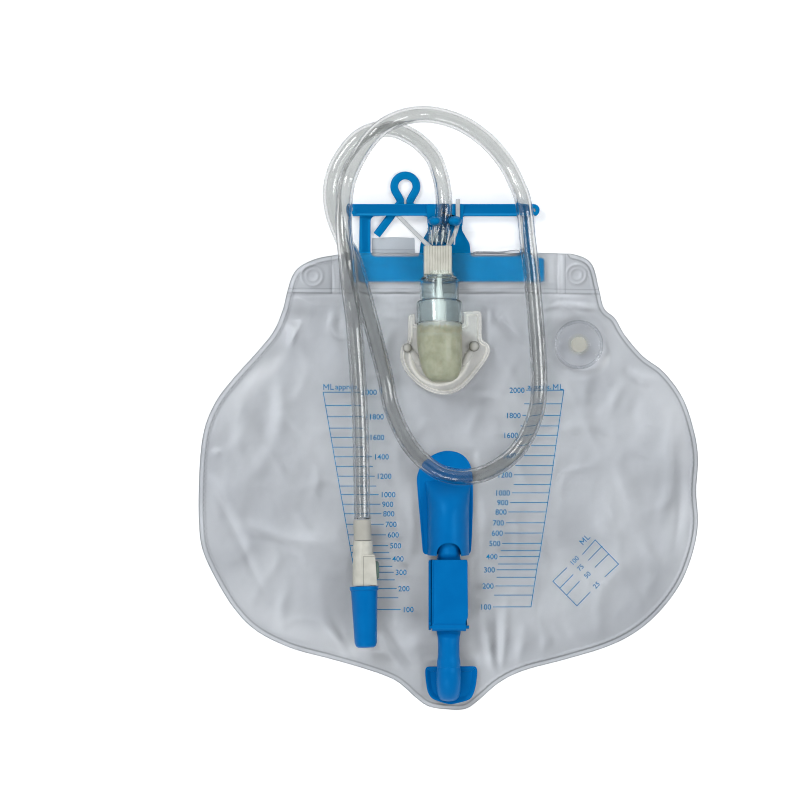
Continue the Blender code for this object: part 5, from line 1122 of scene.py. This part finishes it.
# Drain: a soft blue tube from the boot in the bag's foot, through a pinch clamp with a lever, tucked in
# the hood of its holster. The holster and clamp are welded and clipped to the film.
DRAIN_AT, PLATE_THICK = 0.0001, 0.0012
HOLSTER_PLATE = [
    (427.4, 554.9), (424.8, 554.3), (423.0, 552.0), (422.3, 547.0), (420.7, 527.7), (418.4, 501.4),
    (416.9, 480.4), (418.4, 471.6), (422.4, 463.8), (430.0, 456.9), (438.6, 452.6), (447.4, 450.9),
    (457.9, 452.6), (466.2, 458.2), (471.4, 468.1), (473.0, 483.9), (473.0, 510.2), (472.3, 531.2),
    (471.5, 547.0), (470.8, 552.0), (469.2, 554.3), (466.8, 554.9)]
HOOD_FOOT, HOOD_HEAD, HOOD_HALF, HOOD_RISE = -0.0688, -0.0245, 0.0126, 0.0167
# How the hood's height and half width change from its mouth to its head
HOOD_FALL = [
    (0.0, 1.0, 1.0), (0.31, 1.0, 1.0), (0.60, 0.94, 1.0), (0.79, 0.73, 1.03), (0.92, 0.37, 1.08),
    (1.0, 0.04, 1.13)]
HOOD_MOUTH_HALF, HOOD_MOUTH_TOP, TUCKED = 0.0072, -0.0611, 0.0131
BOOT_PLATE = [
    (429.6, 667.4), (427.0, 668.0), (425.5, 670.2), (425.3, 675.0), (426.2, 684.0), (427.8, 692.5),
    (431.6, 698.6), (438.0, 701.8), (450.0, 705.0), (463.0, 702.6), (470.4, 699.6), (474.0, 693.6),
    (476.2, 685.0), (477.4, 675.0), (477.2, 670.0), (475.6, 667.6), (472.6, 667.0)]
# Rings along the boot's tunnel: y, height of the middle and radius
BOOT_TUNNEL = [
    (-0.1290, 0.0110, 0.0058), (-0.1325, 0.0110, 0.0063), (-0.1352, 0.0110, 0.0068),
    (-0.1385, 0.0110, 0.0073), (-0.1430, 0.0104, 0.0075), (-0.1470, 0.0093, 0.0074),
    (-0.1505, 0.0079, 0.0071), (-0.1532, 0.0066, 0.0065), (-0.1552, 0.0056, 0.0055),
    (-0.1564, 0.0049, 0.0040), (-0.1570, 0.0045, 0.0014)]
LEVER_PLATE = [
    (-0.0076, -0.0713), (-0.0085, -0.0719), (-0.0087, -0.0732), (-0.0088, -0.0780), (-0.0088, -0.0850),
    (-0.0089, -0.1000), (-0.0090, -0.1080), (-0.0088, -0.1106), (-0.0078, -0.1119), (-0.0055, -0.1122),
    (0.0060, -0.1122), (0.0084, -0.1119), (0.0096, -0.1108), (0.0101, -0.1088), (0.0107, -0.1072),
    (0.0114, -0.1056), (0.0115, -0.1000), (0.0113, -0.0790), (0.0113, -0.0735), (0.0111, -0.0720),
    (0.0102, -0.0713)]
LEVER_TOP = 0.0174


def plate(outline, low, thick, rim=0.0009, sunk=0.0003):
    """A plate whose top is sunk inside a raised rim, from an open outline that a straight edge closes."""
    chain = evenly(smoothed([(*p, 0.0) for p in outline], 8), 0.0008)[:, :2]
    bm = bmesh.new()
    bm.faces.new([bm.verts.new((x, y, low + thick)) for x, y in chain])
    facing_up(bm)
    middle = bm.faces[:]
    bmesh.ops.inset_region(bm, faces=middle, thickness=rim, use_boundary=True, use_even_offset=True)
    bmesh.ops.inset_region(bm, faces=middle, thickness=2 * sunk, depth=-sunk, use_even_offset=True)
    lifted(bm, bmesh.ops.extrude_edge_only(bm, edges=[e for e in bm.edges if e.is_boundary]), -thick)
    return closed_up(bm)


rings = []
hood_fall = np.array([tuple(p) for p in smoothed(HOOD_FALL, 8)]).T
for share in np.linspace(0.0, 1.0, 40):
    rise = HOOD_RISE * float(np.interp(share, hood_fall[0], hood_fall[1]))
    half = HOOD_HALF * float(np.interp(share, hood_fall[0], hood_fall[2]))
    turns = np.linspace(0.0, math.pi, 41)
    rings.append([(DRAIN_AT - 0.0002 + half * math.cos(t), HOOD_FOOT + share * (HOOD_HEAD - HOOD_FOOT),
                   FLANGE_DECK + 0.0009 + math.sin(t) ** 0.95 * rise) for t in turns])
bm = skin(rings)
bmesh.ops.smooth_vert(bm, verts=[v for v in bm.verts if not v.is_boundary], factor=0.5, use_axis_z=True)
bmesh.ops.recalc_face_normals(bm, faces=bm.faces)
if sum(f.normal.z for f in bm.faces) < 0:
    bmesh.ops.reverse_faces(bm, faces=bm.faces)
hood = placed("holster_hood", bm, blue, "bag", 180)
wall = hood.modifiers.new("wall", "SOLIDIFY")
wall.thickness, wall.offset = 0.0012, -1.0
cut_away(hood, (DRAIN_AT - HOOD_MOUTH_HALF, 2 * HOOD_FOOT - HOOD_MOUTH_TOP, TUCKED),
         (DRAIN_AT + HOOD_MOUTH_HALF, HOOD_MOUTH_TOP, TUCKED + 0.03), 0.0064)
rounded(hood)
bm = plate([seen_at(*p) for p in HOLSTER_PLATE], FLANGE_DECK, PLATE_THICK)
holster_plate = rounded(placed("holster_plate", bm, blue, "bag"))
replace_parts(holster_plate, "holster")
softened("drain_tube", "drain_hose", blue, 0.0005, 6)

bm = plate([seen_at(*p) for p in BOOT_PLATE], BOOT_DECK + 0.0003, 0.0024, 0.0009, 0.0011)
boot = rounded(placed("boot", bm, blue, "bag"))
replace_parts(boot, "outlet_boot")
rings = [[(DRAIN_AT + radius * math.cos(t), ring_y, max(middle + radius * math.sin(t), BOOT_DECK + 0.0006))
          for t in turns_of(48)] for ring_y, middle, radius in smoothed(BOOT_TUNNEL, 5)]
placed("boot_tunnel", closed_up(skin(rings, closed=True)), blue, "bag", 50)


def flatten_ears(bm):
    """Keeps the channel's hinge ears and right wall under the lever's plate."""
    for vert in bm.verts:
        vert.co.z = min(vert.co.z, LEVER_TOP - 0.0002)
        vert.co.y = max(vert.co.y, -0.1132)
        vert.co.x = min(vert.co.x, 0.0110)


dressed("clamp_base", "clamp_channel", blue, shape=flatten_ears)
dressed("clamp_lever", "lever", blue, 0.0004, 3)
bm = plate(LEVER_PLATE, LEVER_TOP, 0.0008, 0.0006, 0.0001)
rounded(placed("lever_plate", bm, blue, "lever"), 0.0004)
dressed("clamp_pin", "hinge_pin", blue)
